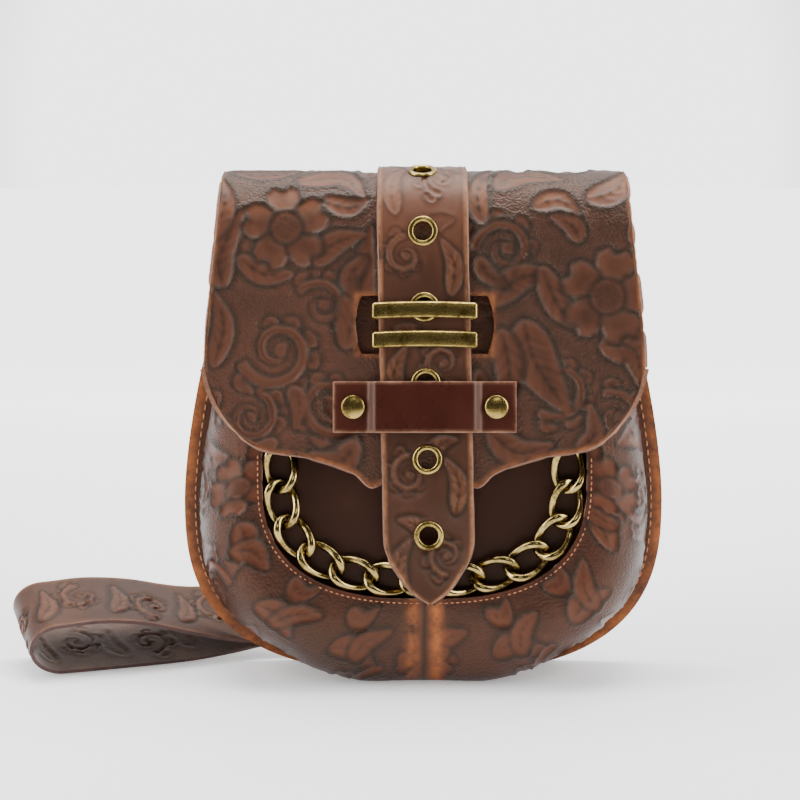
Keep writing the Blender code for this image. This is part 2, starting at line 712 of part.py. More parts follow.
def hang_opening(x):
    """How far the upper run stands above the lower one at x."""
    closed = HANG_LEATHER + GAP
    table = ((0.0, 0.0), (0.36, 0.0), (0.43, 0.03), (0.50, 0.16), (0.57, 0.38), (0.64, 0.61), (0.73, 0.87),
             (0.83, 1.0), (0.92, 0.97), (1.0, 0.93))
    share = (HANG_END_X - x) / HANG_LENGTH
    return closed + (HANG_HEIGHT - closed) * blend(table, share, 1)


def hanging_loop(group):
    """A strap sewn flat on the back at both ends, turned a quarter and laid on the floor as a loop."""
    bend_x = HANG_END_X - HANG_LENGTH * 0.93
    lower_x = [HANG_END_X + (bend_x - HANG_END_X) * k / 22 for k in range(23)]
    bend_rise = hang_opening(bend_x)
    tip = HANG_LENGTH - (HANG_END_X - bend_x)
    stations = [(x, 0.0) for x in lower_x]
    for k in range(1, 10):
        turn = math.radians(180.0 * k / 10)
        stations.append((bend_x - tip * math.sin(turn), bend_rise * (1 - math.cos(turn)) / 2))
    stations += [(x, hang_opening(x)) for x in reversed(lower_x)]
    rows = []
    for x, rise in stations:
        near_y, near_z, tilt = hang_base(x)
        yaw = HANG_YAW * math.cos(tilt)
        near = Vector((x, near_y - rise * math.sin(tilt), near_z + rise * math.cos(tilt)))
        wide = Vector((-yaw, math.cos(tilt), math.sin(tilt))).normalized() * HANG_WIDTH
        rows.append([near + wide * s for s in (0.0, 0.5, 1.0)])
    centre = Vector((bend_x, hang_base(bend_x)[0], HANG_HEIGHT / 2))
    return sheet("hanging_loop", rows, lambda p: p - centre, HANG_LEATHER, "leather", group, offset=0.0)


def main():
    clear_scene()
    bag = collection("chain_bag")
    cutters = collection("cutters")
    back_panel(bag)
    front_frame(bag, cutters)
    front_insert(bag)
    flap(bag, cutters)
    closure_strap(bag, cutters)
    for index in range(1, 7):
        eyelet(index, bag)
    strap_loop("strap_loop_upper", LOOP_V + LOOP_PITCH / 2, bag)
    strap_loop("strap_loop_lower", LOOP_V - LOOP_PITCH / 2, bag)
    keeper_band(bag, cutters)
    keeper_rivet("keeper_rivet_left", -1, bag)
    keeper_rivet("keeper_rivet_right", 1, bag)
    route = chain_route()
    turns = link_directions(route)
    for index, (centre, turn) in enumerate(zip(route, turns), start=1):
        chain_link(index, centre, turn, bag)
    chain_anchor("chain_anchor_left", route[0], turns[0] + math.pi, bag)
    chain_anchor("chain_anchor_right", route[-1], turns[-1], bag)
    hanging_loop(bag)


main()
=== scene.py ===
"""Looks for a small tooled leather flap bag with a closure strap, a curb chain and a hanging loop.

Metres, +Z up, the bag faces -Y. Surfaces repeat the solids' formulas, with tooling pressed into them.
"""

import logging
import math
from dataclasses import dataclass, field
from enum import Enum

import bpy
import bmesh
import numpy as np
from mathutils import Matrix, Vector

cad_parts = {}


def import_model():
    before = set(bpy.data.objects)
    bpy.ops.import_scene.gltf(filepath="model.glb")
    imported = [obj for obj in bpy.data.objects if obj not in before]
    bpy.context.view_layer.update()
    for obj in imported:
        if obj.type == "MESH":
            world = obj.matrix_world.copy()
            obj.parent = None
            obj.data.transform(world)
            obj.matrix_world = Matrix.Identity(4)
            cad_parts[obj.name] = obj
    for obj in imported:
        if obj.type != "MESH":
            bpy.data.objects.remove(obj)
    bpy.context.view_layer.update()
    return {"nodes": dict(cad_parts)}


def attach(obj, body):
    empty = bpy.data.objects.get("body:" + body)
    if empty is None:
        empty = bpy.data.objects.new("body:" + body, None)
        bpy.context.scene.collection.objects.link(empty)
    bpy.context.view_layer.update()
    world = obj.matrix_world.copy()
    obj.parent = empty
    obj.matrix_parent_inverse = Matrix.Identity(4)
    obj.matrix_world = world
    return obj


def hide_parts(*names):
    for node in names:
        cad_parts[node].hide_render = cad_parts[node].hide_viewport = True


LOG = logging.getLogger("chain_bag")
MM = 0.001
LEATHER = 2.0 * MM
GAP = 0.3 * MM
FACE_LEAN = math.radians(8.0)
FACE_FOOT_Y = -40.5 * MM
FACE_FOOT_Z = -3.0 * MM
BACK_Y = 24.0 * MM
WIDEST_Z = 78.0 * MM
MOUTH_Z = 202.0 * MM
WINDOW_MIDDLE = 101.0 * MM
FLAP_LIFT = 1.6 * MM
CREST_Z = 231.6 * MM
FRONT_BEND = 28.0 * MM
LOOP_V = 168.9 * MM
STRAP_SKEW = math.radians(1.15)

# Flap scrolls in mm: middle, radius, start, hand, turns, stem, leaves
FLAP_SCROLLS = (
    (-66, 158, 17, 200, 1, 1.3, 6, 7), (-42, 134, 15, 320, -1, 1.25, 6, 6), (-78, 128, 12, 60, -1, 1.2, 5, 5),
    (-46, 178, 12, 150, -1, 1.1, 5, 4), (36, 203, 14, 180, -1, 1.2, 5, 5), (60, 141, 14, 230, 1, 1.2, 5, 6),
    (86, 128, 12, 120, -1, 1.1, 5, 4),
)
# Flap leaves in mm: spine, width, veins
FLAP_LEAVES = (
    ([(-36, 158), (-30, 180), (-24, 214)], 15, 6), ([(-90, 186), (-92, 200), (-80, 222)], 14, 4),
    ([(-58, 236), (-38, 240), (-26, 226)], 13, 4), ([(-88, 248), (-70, 244), (-52, 252)], 12, 4),
    ([(-28, 240), (-24, 250), (-30, 264)], 11, 3), ([(-95, 150), (-90, 168), (-94, 184)], 10, 4),
    ([(30, 232), (44, 242), (64, 238)], 15, 5), ([(30, 178), (42, 190), (58, 192)], 13, 4),
    ([(44, 172), (50, 152), (66, 128)], 20, 6), ([(34, 168), (38, 150), (36, 132)], 13, 4),
    ([(78, 160), (94, 158), (98, 140)], 17, 5), ([(72, 226), (86, 232), (96, 250)], 14, 4),
    ([(54, 256), (66, 250), (80, 262)], 12, 4), ([(-30, 118), (-38, 108), (-52, 112)], 12, 4),
    ([(28, 122), (42, 112), (58, 116)], 13, 4), ([(-66, 118), (-76, 112), (-84, 120)], 9, 3),
    ([(-50, 196), (-40, 206), (-26, 210)], 11, 4), ([(-98, 206), (-90, 222), (-92, 240)], 11, 4),
    ([(-84, 200), (-72, 192), (-58, 192)], 10, 3), ([(-46, 226), (-34, 222), (-24, 226)], 9, 3),
    ([(-46, 250), (-38, 262), (-44, 268)], 10, 3), ([(-76, 262), (-64, 264), (-56, 262)], 9, 3),
    ([(-92, 140), (-98, 130), (-92, 122)], 8, 3), ([(-60, 142), (-56, 134), (-58, 122)], 8, 3),
    ([(26, 214), (24, 230), (30, 250)], 10, 4), ([(48, 222), (60, 226), (70, 218)], 10, 3),
    ([(34, 258), (44, 254), (52, 264)], 10, 3), ([(52, 196), (60, 178), (72, 166)], 12, 4),
    ([(92, 206), (98, 218), (94, 232)], 9, 3), ([(70, 206), (66, 214), (56, 218)], 9, 3),
    ([(68, 114), (76, 120), (74, 134)], 9, 3), ([(24, 150), (26, 136), (24, 122)], 8, 3),
    ([(24, 200), (28, 192), (38, 186)], 8, 3), ([(-26, 200), (-34, 190), (-30, 180)], 8, 3),
)
# Flap flowers in mm: middle, radius, turn
FLAP_FLOWERS = (
    (-62, 213, 20, 96), (82, 182, 22, 78), (78, 268, 16, 60), (-20, 270, 12, 30),
)


class Ground(Enum):
    """What lies between the motifs of a tooled piece."""

    PEBBLED = 1.0
    PLAIN = 0.0


def face_point(x: float, v: float, n: float) -> Vector:
    """Place on the leaning face.

    Args:
        x: across, in metres.
        v: up the face.
        n: out of the face.

    Returns:
        The point in the bag's frame.
    """
    s, c = math.sin(FACE_LEAN), math.cos(FACE_LEAN)
    return Vector((x, FACE_FOOT_Y + v * s - n * c, FACE_FOOT_Z + v * c + n * s))


def smooth_step(value: float, low: float, high: float) -> float:
    """A smooth share from 0 at low to 1 at high."""
    t = min(max((value - low) / (high - low), 0.0), 1.0)
    return t * t * (3.0 - 2.0 * t)


def blend(table: tuple, position: float, column: int) -> float:
    """A smooth curve through one column of a table.

    Args:
        table: rows whose first column is the position.
        position: where to read it.
        column: which column.

    Returns:
        The value there.
    """
    last = len(table) - 1
    k = 0
    while k < last - 1 and position > table[k + 1][0]:
        k += 1
    x0, x1 = table[k][0], table[k + 1][0]
    y0, y1 = table[k][column], table[k + 1][column]
    before, after = table[max(k - 1, 0)], table[min(k + 2, last)]
    m0 = (y1 - before[column]) / (x1 - before[0])
    m1 = (after[column] - y0) / (after[0] - x0)
    t = min(max((position - x0) / (x1 - x0), 0.0), 1.0)
    h = x1 - x0
    return ((1 + 2 * t) * (1 - t) ** 2 * y0 + t * (1 - t) ** 2 * h * m0
            + t * t * (3 - 2 * t) * y1 - t * t * (1 - t) * h * m1)


def bend_start_v() -> float:
    """Where the flap's front starts to bend over the top."""
    bend_n = FLAP_LIFT + LEATHER / 2 - FRONT_BEND
    return (CREST_Z - FRONT_BEND - FACE_FOOT_Z - bend_n * math.sin(FACE_LEAN)) / math.cos(FACE_LEAN)


def over_top(v: float, lift: float) -> Vector:
    """A point on the shared path up the front, over the bend and down the back.

    Args:
        v: distance up the front, running on over the top.
        lift: height of the sheet's middle above the front face.

    Returns:
        The point, with x = 0.
    """
    start = bend_start_v()
    centre_n = FLAP_LIFT + LEATHER / 2 - FRONT_BEND
    if v <= start:
        return face_point(0.0, v, lift)
    radius = lift - centre_n
    centre = face_point(0.0, start, centre_n)
    sweep = math.radians(90.0) - FACE_LEAN
    turn = (v - start) / FRONT_BEND
    if turn <= sweep:
        lean = FACE_LEAN + turn
        return centre + Vector((0.0, -math.cos(lean), math.sin(lean))) * radius
    back_bend = BACK_Y + GAP + LEATHER / 2 - centre.y
    above = lift - FLAP_LIFT - LEATHER / 2
    back_centre_z = CREST_Z - back_bend
    more = (v - start - sweep * FRONT_BEND) / back_bend
    if more <= math.pi / 2:
        return Vector((0.0, centre.y + (back_bend + above) * math.sin(more),
                       back_centre_z + (back_bend + above) * math.cos(more)))
    down = (more - math.pi / 2) * back_bend
    return Vector((0.0, centre.y + back_bend + above, back_centre_z - down))


def back_end_v(z: float) -> float:
    """The path's v at a height z down the back."""
    start = bend_start_v()
    centre = face_point(0.0, start, FLAP_LIFT + LEATHER / 2 - FRONT_BEND)
    back_bend = BACK_Y + GAP + LEATHER / 2 - centre.y
    sweep = math.radians(90.0) - FACE_LEAN
    return start + sweep * FRONT_BEND + back_bend * math.pi / 2 + (CREST_Z - back_bend - z)


@dataclass
class Tooling:
    """A height chart of carved leather, drawn from curves in millimetres."""

    low: tuple
    high: tuple
    step: float = 0.5
    height: np.ndarray = field(init=False)
    motif: np.ndarray = field(init=False)

    def __post_init__(self) -> None:
        """Makes the empty chart."""
        nx = int((self.high[0] - self.low[0]) / self.step) + 1
        ny = int((self.high[1] - self.low[1]) / self.step) + 1
        self.height = np.full((ny, nx), -0.30)
        self.motif = np.zeros((ny, nx))

    def window(self, points: np.ndarray, pad: float) -> tuple:
        """Slices of the chart round some points, with the grid places in them.

        Args:
            points: in mm.
            pad: how much further it reaches, in mm.

        Returns:
            The slices and the places' x and y, or None three times where it misses the chart.
        """
        ny, nx = self.height.shape
        x0 = max(int((points[:, 0].min() - pad - self.low[0]) / self.step), 0)
        x1 = min(int((points[:, 0].max() + pad - self.low[0]) / self.step) + 2, nx)
        y0 = max(int((points[:, 1].min() - pad - self.low[1]) / self.step), 0)
        y1 = min(int((points[:, 1].max() + pad - self.low[1]) / self.step) + 2, ny)
        if x1 <= x0 or y1 <= y0:
            return None, None, None
        gx, gy = np.meshgrid(self.low[0] + np.arange(x0, x1) * self.step, self.low[1] + np.arange(y0, y1) * self.step)
        return (slice(y0, y1), slice(x0, x1)), gx, gy

    @staticmethod
    def reach(gx: np.ndarray, gy: np.ndarray, points: np.ndarray, closed: bool) -> tuple:
        """Distance from each grid place to a line, and whether it is inside it when closed.

        Args:
            gx: the places' x.
            gy: the places' y.
            points: the line.
            closed: whether its ends meet.

        Returns:
            The distances, and which places are inside.
        """
        ends = np.roll(points, -1, axis=0) if closed else points[1:]
        starts = points if closed else points[:-1]
        best = np.full(gx.shape, 1e9)
        inside = np.zeros(gx.shape, dtype=bool)
        for (ax, ay), (bx, by) in zip(starts, ends):
            dx, dy = bx - ax, by - ay
            t = np.clip(((gx - ax) * dx + (gy - ay) * dy) / (dx * dx + dy * dy + 1e-9), 0, 1)
            best = np.minimum(best, (gx - ax - t * dx) ** 2 + (gy - ay - t * dy) ** 2)
            if closed and ay != by:
                inside ^= ((ay > gy) != (by > gy)) & (gx < dx * (gy - ay) / dy + ax)
        return np.sqrt(best), inside

    def shape(self, points: list, rise: float = 0.30, soft: float = 1.8) -> None:
        """A raised motif with a bevelled outline pressed round it.

        Args:
            points: its outline.
            rise: how far it stands up.
            soft: how wide its rounded edge is.
        """
        line = np.array(points, dtype=float)
        place, gx, gy = self.window(line, 5.0)
        if place is None:
            return
        away, inside = self.reach(gx, gy, line, True)
        dome = rise * (1 - np.exp(-away / soft)) - 0.02
        press = -0.34 * np.exp(-((away - 0.5) / 1.3) ** 2)
        here = self.height[place]
        self.height[place] = np.where(inside, dome, np.minimum(here, np.where(away < 3.0, here + press, here)))
        self.motif[place] = np.where(inside, 1.0, self.motif[place])

    def groove(self, points: list, depth: float = 0.30, width: float = 0.55) -> None:
        """A cut line.

        Args:
            points: along it.
            depth: of the cut.
            width: of the cut.
        """
        line = np.array(points, dtype=float)
        place, gx, gy = self.window(line, 3.0)
        if place is None:
            return
        away, _ = self.reach(gx, gy, line, False)
        self.height[place] -= depth * np.exp(-(away / width) ** 2)

    def bead(self, x: float, y: float, radius: float) -> None:
        """A small round bead.

        Args:
            x: of its middle.
            y: of its middle.
            radius: of the bead.
        """
        place, gx, gy = self.window(np.array([[x, y]]), radius + 1)
        if place is None:
            return
        r = np.hypot(gx - x, gy - y) / radius
        self.height[place] = np.where(r < 1.15, 0.34 * np.sqrt(np.clip(1 - r * r, 0, 1)) - 0.12, self.height[place])

    def leaf(self, spine: list, width: float, veins: int = 5, notch: float = 0.0) -> None:
        """A leaf along a spine, with a midrib and side veins.

        Args:
            spine: a few points from stem to tip.
            width: at its widest.
            veins: pairs of side veins.
            notch: how wavy its edge is.
        """
        line = smooth_line(spine, 26)
        turn = normals(line)
        shares = np.linspace(0, 1, len(line))
        half = width / 2 * np.sin(np.pi * shares ** 0.75) ** 0.8 * (1 + notch * np.sin(shares * math.pi * 7))
        self.shape(list(line + turn * half[:, None]) + list((line - turn * half[:, None])[::-1]))
        self.groove(line[1:-3], 0.30)
        for k in range(1, veins + 1):
            i = int(len(line) * (0.12 + 0.7 * k / (veins + 1)))
            j = min(i + 4, len(line) - 1)
            for side in (-1, 1):
                self.groove([line[i], (line[i] + line[j]) / 2 + turn[i] * side * half[i] * 0.45,
                             line[j] + turn[j] * side * half[j] * 0.8], 0.20, 0.45)

    def stem(self, spine: list, width: float, taper: float = 0.35) -> None:
        """A rounded stem that narrows towards its end, with a line along it.

        Args:
            spine: a few points along it.
            width: at its start.
            taper: share of the width at its end.
        """
        line = smooth_line(spine, 40)
        turn = normals(line)
        half = width / 2 * np.linspace(1, taper, len(line))
        self.shape(list(line + turn * half[:, None]) + list((line - turn * half[:, None])[::-1]), 0.32, 1.2)
        self.groove(line + turn * half[:, None] * 0.35, 0.16, 0.4)

    def scroll(self, x: float, y: float, radius: float, start: float, hand: int, turns: float = 1.35,
               width: float = 6.0, leaves: int = 6) -> None:
        """A spiral stem with leaves fanned along its outside and a bud in its middle.

        Args:
            x: of its middle.
            y: of its middle.
            radius: outside.
            start: where it starts, in degrees.
            hand: 1 or -1, the way it winds.
            turns: how often it winds.
            width: of the stem at a radius of 20 mm.
            leaves: how many.
        """
        spiral = []
        for k in range(44):
            share = k / 43
            turn = math.radians(start) + hand * 2 * math.pi * turns * share
            r = radius * (1 - 0.78 * share ** 0.85)
            spiral.append((x + r * math.cos(turn), y + r * math.sin(turn)))
        for k in range(leaves):
            i = 2 + int(26 * k / max(leaves, 1))
            ax, ay = spiral[i]
            bx, by = spiral[i + 3]
            out = math.atan2(ay - y, ax - x)
            go = math.atan2(by - ay, bx - ax)
            size = radius * (0.62 - 0.22 * k / max(leaves, 1))
            mid = (ax + size * 0.55 * math.cos(out), ay + size * 0.55 * math.sin(out))
            tip = (ax + size * (0.75 * math.cos(out) + 0.75 * math.cos(go)),
                   ay + size * (0.75 * math.sin(out) + 0.75 * math.sin(go)))
            self.leaf([(ax, ay), mid, tip], size * 0.62, 2)
        self.stem(spiral, width * radius / 20)
        self.leaf([spiral[-1], (x + radius * 0.1, y), (x - radius * 0.28 * math.cos(math.radians(start)),
                                                     y + radius * 0.22)], radius * 0.30, 2)

    def flower(self, x: float, y: float, radius: float, turn: float = 90.0, petals: int = 5) -> None:
        """An open flower with notched, grooved petals round a beaded centre.

        Args:
            x: of its middle.
            y: of its middle.
            radius: of the petals.
            turn: of the first petal, in degrees.
            petals: how many.
        """
        for k in range(petals):
            mid = math.radians(turn + 360.0 * k / petals)
            spread = math.radians(180.0 / petals) * 1.04
            outline = []
            for i in range(25):
                s = -1 + 2 * i / 24
                reach = radius * (0.84 + 0.16 * math.cos(s * math.pi * 0.5) - 0.16 * math.exp(-(s / 0.16) ** 2)
                                  - 0.34 * abs(s) ** 5 + 0.02 * math.cos(s * 20))
                outline.append((x + reach * math.cos(mid + spread * s), y + reach * math.sin(mid + spread * s)))
            outline.append((x, y))
            self.shape(outline, 0.36, 2.2)
            for s in (-0.62, -0.34, -0.12, 0.12, 0.34, 0.62):
                a = mid + spread * s
                self.groove([(x + radius * 0.34 * math.cos(a), y + radius * 0.34 * math.sin(a)),
                             (x + radius * (0.66 - 0.1 * abs(s)) * math.cos(a),
                              y + radius * (0.66 - 0.1 * abs(s)) * math.sin(a))], 0.20, 0.4)
        ring = [(x + radius * 0.33 * math.cos(t), y + radius * 0.33 * math.sin(t))
                for t in np.linspace(0, 2 * math.pi, 25)[:-1]]
        self.shape(ring, 0.10, 3.0)
        for r, count in ((0.0, 1), (0.11, 6), (0.21, 12), (0.29, 18)):
            for k in range(count):
                t = 2 * math.pi * k / count + r * 9
                self.bead(x + radius * r * math.cos(t), y + radius * r * math.sin(t), radius * 0.052 + 0.25)

    def soften(self, rounds: int = 2) -> None:
        """Rounds the chart's steps a little, as pressed leather does.

        Args:
            rounds: how often.
        """
        for _ in range(rounds):
            for name in ("height", "motif"):
                old = getattr(self, name)
                new = old.copy()
                new[1:-1, 1:-1] = (old[1:-1, 1:-1] * 4 + (old[:-2, 1:-1] + old[2:, 1:-1] + old[1:-1, :-2]
                                                          + old[1:-1, 2:]) * 2
                                   + old[:-2, :-2] + old[:-2, 2:] + old[2:, :-2] + old[2:, 2:]) / 16
                setattr(self, name, new)

    def read(self, x: np.ndarray, y: np.ndarray, chart: np.ndarray) -> np.ndarray:
        """Bilinear values of a chart at many places in mm.

        Args:
            x: of the places.
            y: of the places.
            chart: height or motif.

        Returns:
            The values there.
        """
        ny, nx = chart.shape
        u = np.clip((x - self.low[0]) / self.step, 0, nx - 1.001)
        w = np.clip((y - self.low[1]) / self.step, 0, ny - 1.001)
        i, j = u.astype(int), w.astype(int)
        a, b = u - i, w - j
        return (chart[j, i] * (1 - a) * (1 - b) + chart[j, i + 1] * a * (1 - b)
                + chart[j + 1, i] * (1 - a) * b + chart[j + 1, i + 1] * a * b)


def smooth_line(points: list, count: int) -> np.ndarray:
    """A smooth line of count points through a few given ones.

    Args:
        points: the given ones.
        count: how many points it has.

    Returns:
        The line.
    """
    p = np.array(points, dtype=float)
    if len(p) == 2:
        return p[0] + (p[1] - p[0]) * np.linspace(0, 1, count)[:, None]
    q = np.vstack([2 * p[0] - p[1], p, 2 * p[-1] - p[-2]])
    out = []
    for s in np.linspace(0, len(p) - 1 - 1e-6, count):
        k, t = int(s), s - int(s)
        a, b, c, d = q[k], q[k + 1], q[k + 2], q[k + 3]
        out.append(0.5 * (2 * b + (c - a) * t + (2 * a - 5 * b + 4 * c - d) * t * t
                          + (3 * b - a - 3 * c + d) * t ** 3))
    return np.array(out)


def normals(line: np.ndarray) -> np.ndarray:
    """Unit sideways directions along a line.

    Args:
        line: its points.

    Returns:
        One direction for each point.
    """
    along = np.gradient(line, axis=0)
    along /= np.linalg.norm(along, axis=1)[:, None] + 1e-9
    return np.stack([-along[:, 1], along[:, 0]], axis=1)


class Nodes:
    """A small helper that adds and links nodes in one tree."""

    def __init__(self, tree: bpy.types.NodeTree) -> None:
        """Keeps the tree."""
        self.tree = tree

    def add(self, kind: str, **values: object) -> bpy.types.Node:
        """A node with its properties set."""
        made = self.tree.nodes.new(kind)
        for key, value in values.items():
            setattr(made, key, value)
        return made

    def put(self, source: object, target: object) -> None:
        """Links a socket, or sets a number, colour or vector."""
        if isinstance(source, bpy.types.NodeSocket):
            self.tree.links.new(source, target)
        else:
            target.default_value = source

    def math(self, how: str, a: object, b: object = 0.5, c: object = None) -> bpy.types.NodeSocket:
        """A maths node.

        Args:
            how: its operation.
            a: the first value or socket.
            b: the second.
            c: the third, if any.

        Returns:
            Its result.
        """
        made = self.add("ShaderNodeMath", operation=how)
        for k, value in enumerate((a, b) if c is None else (a, b, c)):
            self.put(value, made.inputs[k])
        return made.outputs[0]

    def noise(self, vector: object, scale: float, detail: float = 3.0, rough: float = 0.5) -> bpy.types.NodeSocket:
        """Noise as one value.

        Args:
            vector: the coordinates.
            scale: of the noise.
            detail: its octaves.
            rough: how strong the fine ones are.

        Returns:
            The noise.
        """
        made = self.add("ShaderNodeTexNoise")
        self.put(vector, made.inputs["Vector"])
        made.inputs["Scale"].default_value = scale
        made.inputs["Detail"].default_value = detail
        made.inputs["Roughness"].default_value = rough
        return made.outputs["Fac"]

    def ramp(self, value: object, stops: tuple) -> bpy.types.NodeSocket:
        """A colour ramp from (place, colour) stops.

        Args:
            value: what is read.
            stops: at least two.

        Returns:
            The colour.
        """
        made = self.add("ShaderNodeValToRGB")
        elements = made.color_ramp.elements
        for k, (place, colour) in enumerate(stops):
            item = elements[k] if k < 2 else elements.new(place)
            item.position = place
            item.color = (*colour, 1.0)
        self.put(value, made.inputs["Fac"])
        return made.outputs["Color"]

    def mix(self, share: object, a: object, b: object) -> bpy.types.NodeSocket:
        """Two colours mixed.

        Args:
            share: of the second.
            a: the first.
            b: the second.

        Returns:
            The colour.
        """
        made = self.add("ShaderNodeMix", data_type="RGBA")
        self.put(share, made.inputs[0])
        self.put(a if isinstance(a, bpy.types.NodeSocket) else (*a, 1.0), made.inputs[6])
        self.put(b if isinstance(b, bpy.types.NodeSocket) else (*b, 1.0), made.inputs[7])
        return made.outputs[2]

    def attribute(self, name: str) -> bpy.types.NodeSocket:
        """A vertex attribute as one value."""
        return self.add("ShaderNodeAttribute", attribute_name=name).outputs["Fac"]


def leather_grain() -> bpy.types.NodeTree:
    """The shared group of leather effects: creased grain, pebbles and blotches.

    Returns:
        The group, with inputs Vector and Pebbles, and outputs Height, Mottle and Rub.
    """
    found = bpy.data.node_groups.get("leather grain")
    if found:
        return found
    tree = bpy.data.node_groups.new("leather grain", "ShaderNodeTree")
    tree.interface.new_socket("Vector", in_out="INPUT", socket_type="NodeSocketVector")
    tree.interface.new_socket("Pebbles", in_out="INPUT", socket_type="NodeSocketFloat")
    for name in ("Height", "Mottle", "Rub"):
        tree.interface.new_socket(name, in_out="OUTPUT", socket_type="NodeSocketFloat")
    n = Nodes(tree)
    inside = n.add("NodeGroupInput")
    out = n.add("NodeGroupOutput")
    place = inside.outputs["Vector"]
    fine = n.add("ShaderNodeTexVoronoi", feature="DISTANCE_TO_EDGE")
    n.put(place, fine.inputs["Vector"])
    fine.inputs["Scale"].default_value = 1400
    pores = n.math("MINIMUM", fine.outputs["Distance"], 0.12)
    stipple = n.add("ShaderNodeTexVoronoi", feature="F1")
    n.put(place, stipple.inputs["Vector"])
    stipple.inputs["Scale"].default_value = 820
    bumps = n.math("MULTIPLY", n.math("SUBTRACT", 0.55, stipple.outputs["Distance"]), inside.outputs["Pebbles"])
    creases = n.noise(place, 260, 5.0, 0.6)
    height = n.math("ADD", n.math("MULTIPLY", pores, 1.6), n.math("ADD", n.math("MULTIPLY", creases, 0.35),
                                                                   n.math("MULTIPLY", bumps, 1.3)))
    n.put(height, out.inputs["Height"])
    n.put(n.noise(place, 22, 4.0, 0.62), out.inputs["Mottle"])
    n.put(n.noise(place, 75, 6.0, 0.72), out.inputs["Rub"])
    return tree


@dataclass(frozen=True)
class Finish:
    """A named procedural material, built once."""

    name: str

    def make(self) -> bpy.types.Material:
        """The material, new or already built."""
        made = bpy.data.materials.get(self.name)
        if not made:
            made = bpy.data.materials.new(self.name)
            made.use_nodes = True
            n = Nodes(made.node_tree)
            self.dress(n, made.node_tree.nodes["Principled BSDF"], n.add("ShaderNodeTexCoord").outputs["Object"])
        return made

    def dress(self, n: Nodes, shader: bpy.types.Node, place: bpy.types.NodeSocket) -> None:
        """Adds the finish's own nodes.

        Args:
            n: the material's nodes.
            shader: its Principled BSDF.
            place: the Object coordinates.
        """
        raise NotImplementedError

    @staticmethod
    def roughen(n: Nodes, shader: bpy.types.Node, height: bpy.types.NodeSocket, strength: float,
                depth: float) -> None:
        """Feeds a height to the shader's normal through a bump of some strength and depth in metres."""
        bump = n.add("ShaderNodeBump")
        bump.inputs["Strength"].default_value = strength
        bump.inputs["Distance"].default_value = depth
        n.put(height, bump.inputs["Height"])
        n.put(bump.outputs["Normal"], shader.inputs["Normal"])


@dataclass(frozen=True)
class Leather(Finish):
    """Oil-tanned leather: dark in its recesses from antique finish and painted shade, lighter on its ridges and across
    the flap's top bend from painted highlight, and lighter where it is rubbed.
    """

    dark: tuple
    middle: tuple
    light: tuple
    rub_and_highlight: tuple
    roughness: float = 0.40
    bump: float = 0.35
    ground: Ground = Ground.PLAIN
    coat: float = 0.04

    def dress(self, n: Nodes, shader: bpy.types.Node, place: bpy.types.NodeSocket) -> None:
        """Adds the finish's own nodes."""
        grain = n.add("ShaderNodeGroup")
        grain.node_tree = leather_grain()
        n.put(place, grain.inputs["Vector"])
        relief = n.attribute("relief")
        pebbles = n.math("MULTIPLY", n.attribute("ground"), self.ground.value)
        n.put(pebbles, grain.inputs["Pebbles"])
        mottle = grain.outputs["Mottle"]
        # colour tone by local height: antique finish and painted shade darken the grooves, painted highlight lightens
        # the ridges
        tone = n.math("ADD", n.math("MULTIPLY", relief, 0.95), n.math("MULTIPLY_ADD", mottle, 0.9, -0.50))
        colour = n.ramp(tone, ((0.0, self.dark), (0.42, self.middle), (0.80, self.light)))
        # rubbed colour: real wear at edges and seams, plus a painted highlight across the flap's top bend
        rub = n.math("MULTIPLY", n.attribute("wear"), n.math("MULTIPLY_ADD", grain.outputs["Rub"], 3.4, -1.15))
        held = n.math("MINIMUM", n.math("MAXIMUM", rub, 0.0), 0.92)
        n.put(n.mix(held, colour, self.rub_and_highlight), shader.inputs["Base Color"])
        dull = n.math("MULTIPLY_ADD", mottle, 0.30, self.roughness - 0.15)
        n.put(n.math("ADD", dull, n.math("MULTIPLY", held, 0.25)), shader.inputs["Roughness"])
        self.roughen(n, shader, grain.outputs["Height"], self.bump, 0.5 * MM)
        shader.inputs["Coat Weight"].default_value = self.coat
        shader.inputs["Coat Roughness"].default_value = 0.32
        shader.inputs["Specular IOR Level"].default_value = 0.40
        shader.inputs["Specular Tint"].default_value = (1.0, 0.70, 0.52, 1.0)


@dataclass(frozen=True)
class Brass(Finish):
    """Antique brass: bright where it is rubbed, brown in its hollows."""

    bright: tuple
    dull: tuple
    roughness: float

    def dress(self, n: Nodes, shader: bpy.types.Node, place: bpy.types.NodeSocket) -> None:
        """Adds the finish's own nodes."""
        patina = n.noise(place, 160, 5.0, 0.65)
        marks = n.noise(place, 900, 3.0, 0.6)
        tone = n.math("ADD", n.math("MULTIPLY", patina, 0.8), n.math("MULTIPLY", marks, 0.2))
        n.put(n.ramp(tone, ((0.36, self.dull), (0.56, self.bright))), shader.inputs["Base Color"])
        n.put(n.math("MULTIPLY_ADD", patina, -0.25, self.roughness + 0.14), shader.inputs["Roughness"])
        shader.inputs["Metallic"].default_value = 1.0
        self.roughen(n, shader, marks, 0.10, 0.3 * MM)


@dataclass(frozen=True)
class Fibre(Finish):
    """Waxed thread, raw leather edges or suede: matt, with a fine uneven nap."""

    light: tuple
    dark: tuple
    scale: float = 600
    sheen: float = 0.2

    def dress(self, n: Nodes, shader: bpy.types.Node, place: bpy.types.NodeSocket) -> None:
        """Adds the finish's own nodes."""
        nap = n.noise(place, self.scale, 4.0, 0.7)
        broad = n.noise(place, 60, 3.0, 0.6)
        tone = n.math("ADD", n.math("MULTIPLY", nap, 0.5), n.math("MULTIPLY", broad, 0.5))
        n.put(n.ramp(tone, ((0.35, self.dark), (0.62, self.light))), shader.inputs["Base Color"])
        n.put(n.math("MULTIPLY_ADD", nap, 0.2, 0.68), shader.inputs["Roughness"])
        shader.inputs["Sheen Weight"].default_value = self.sheen
        self.roughen(n, shader, nap, 0.5, 0.4 * MM)


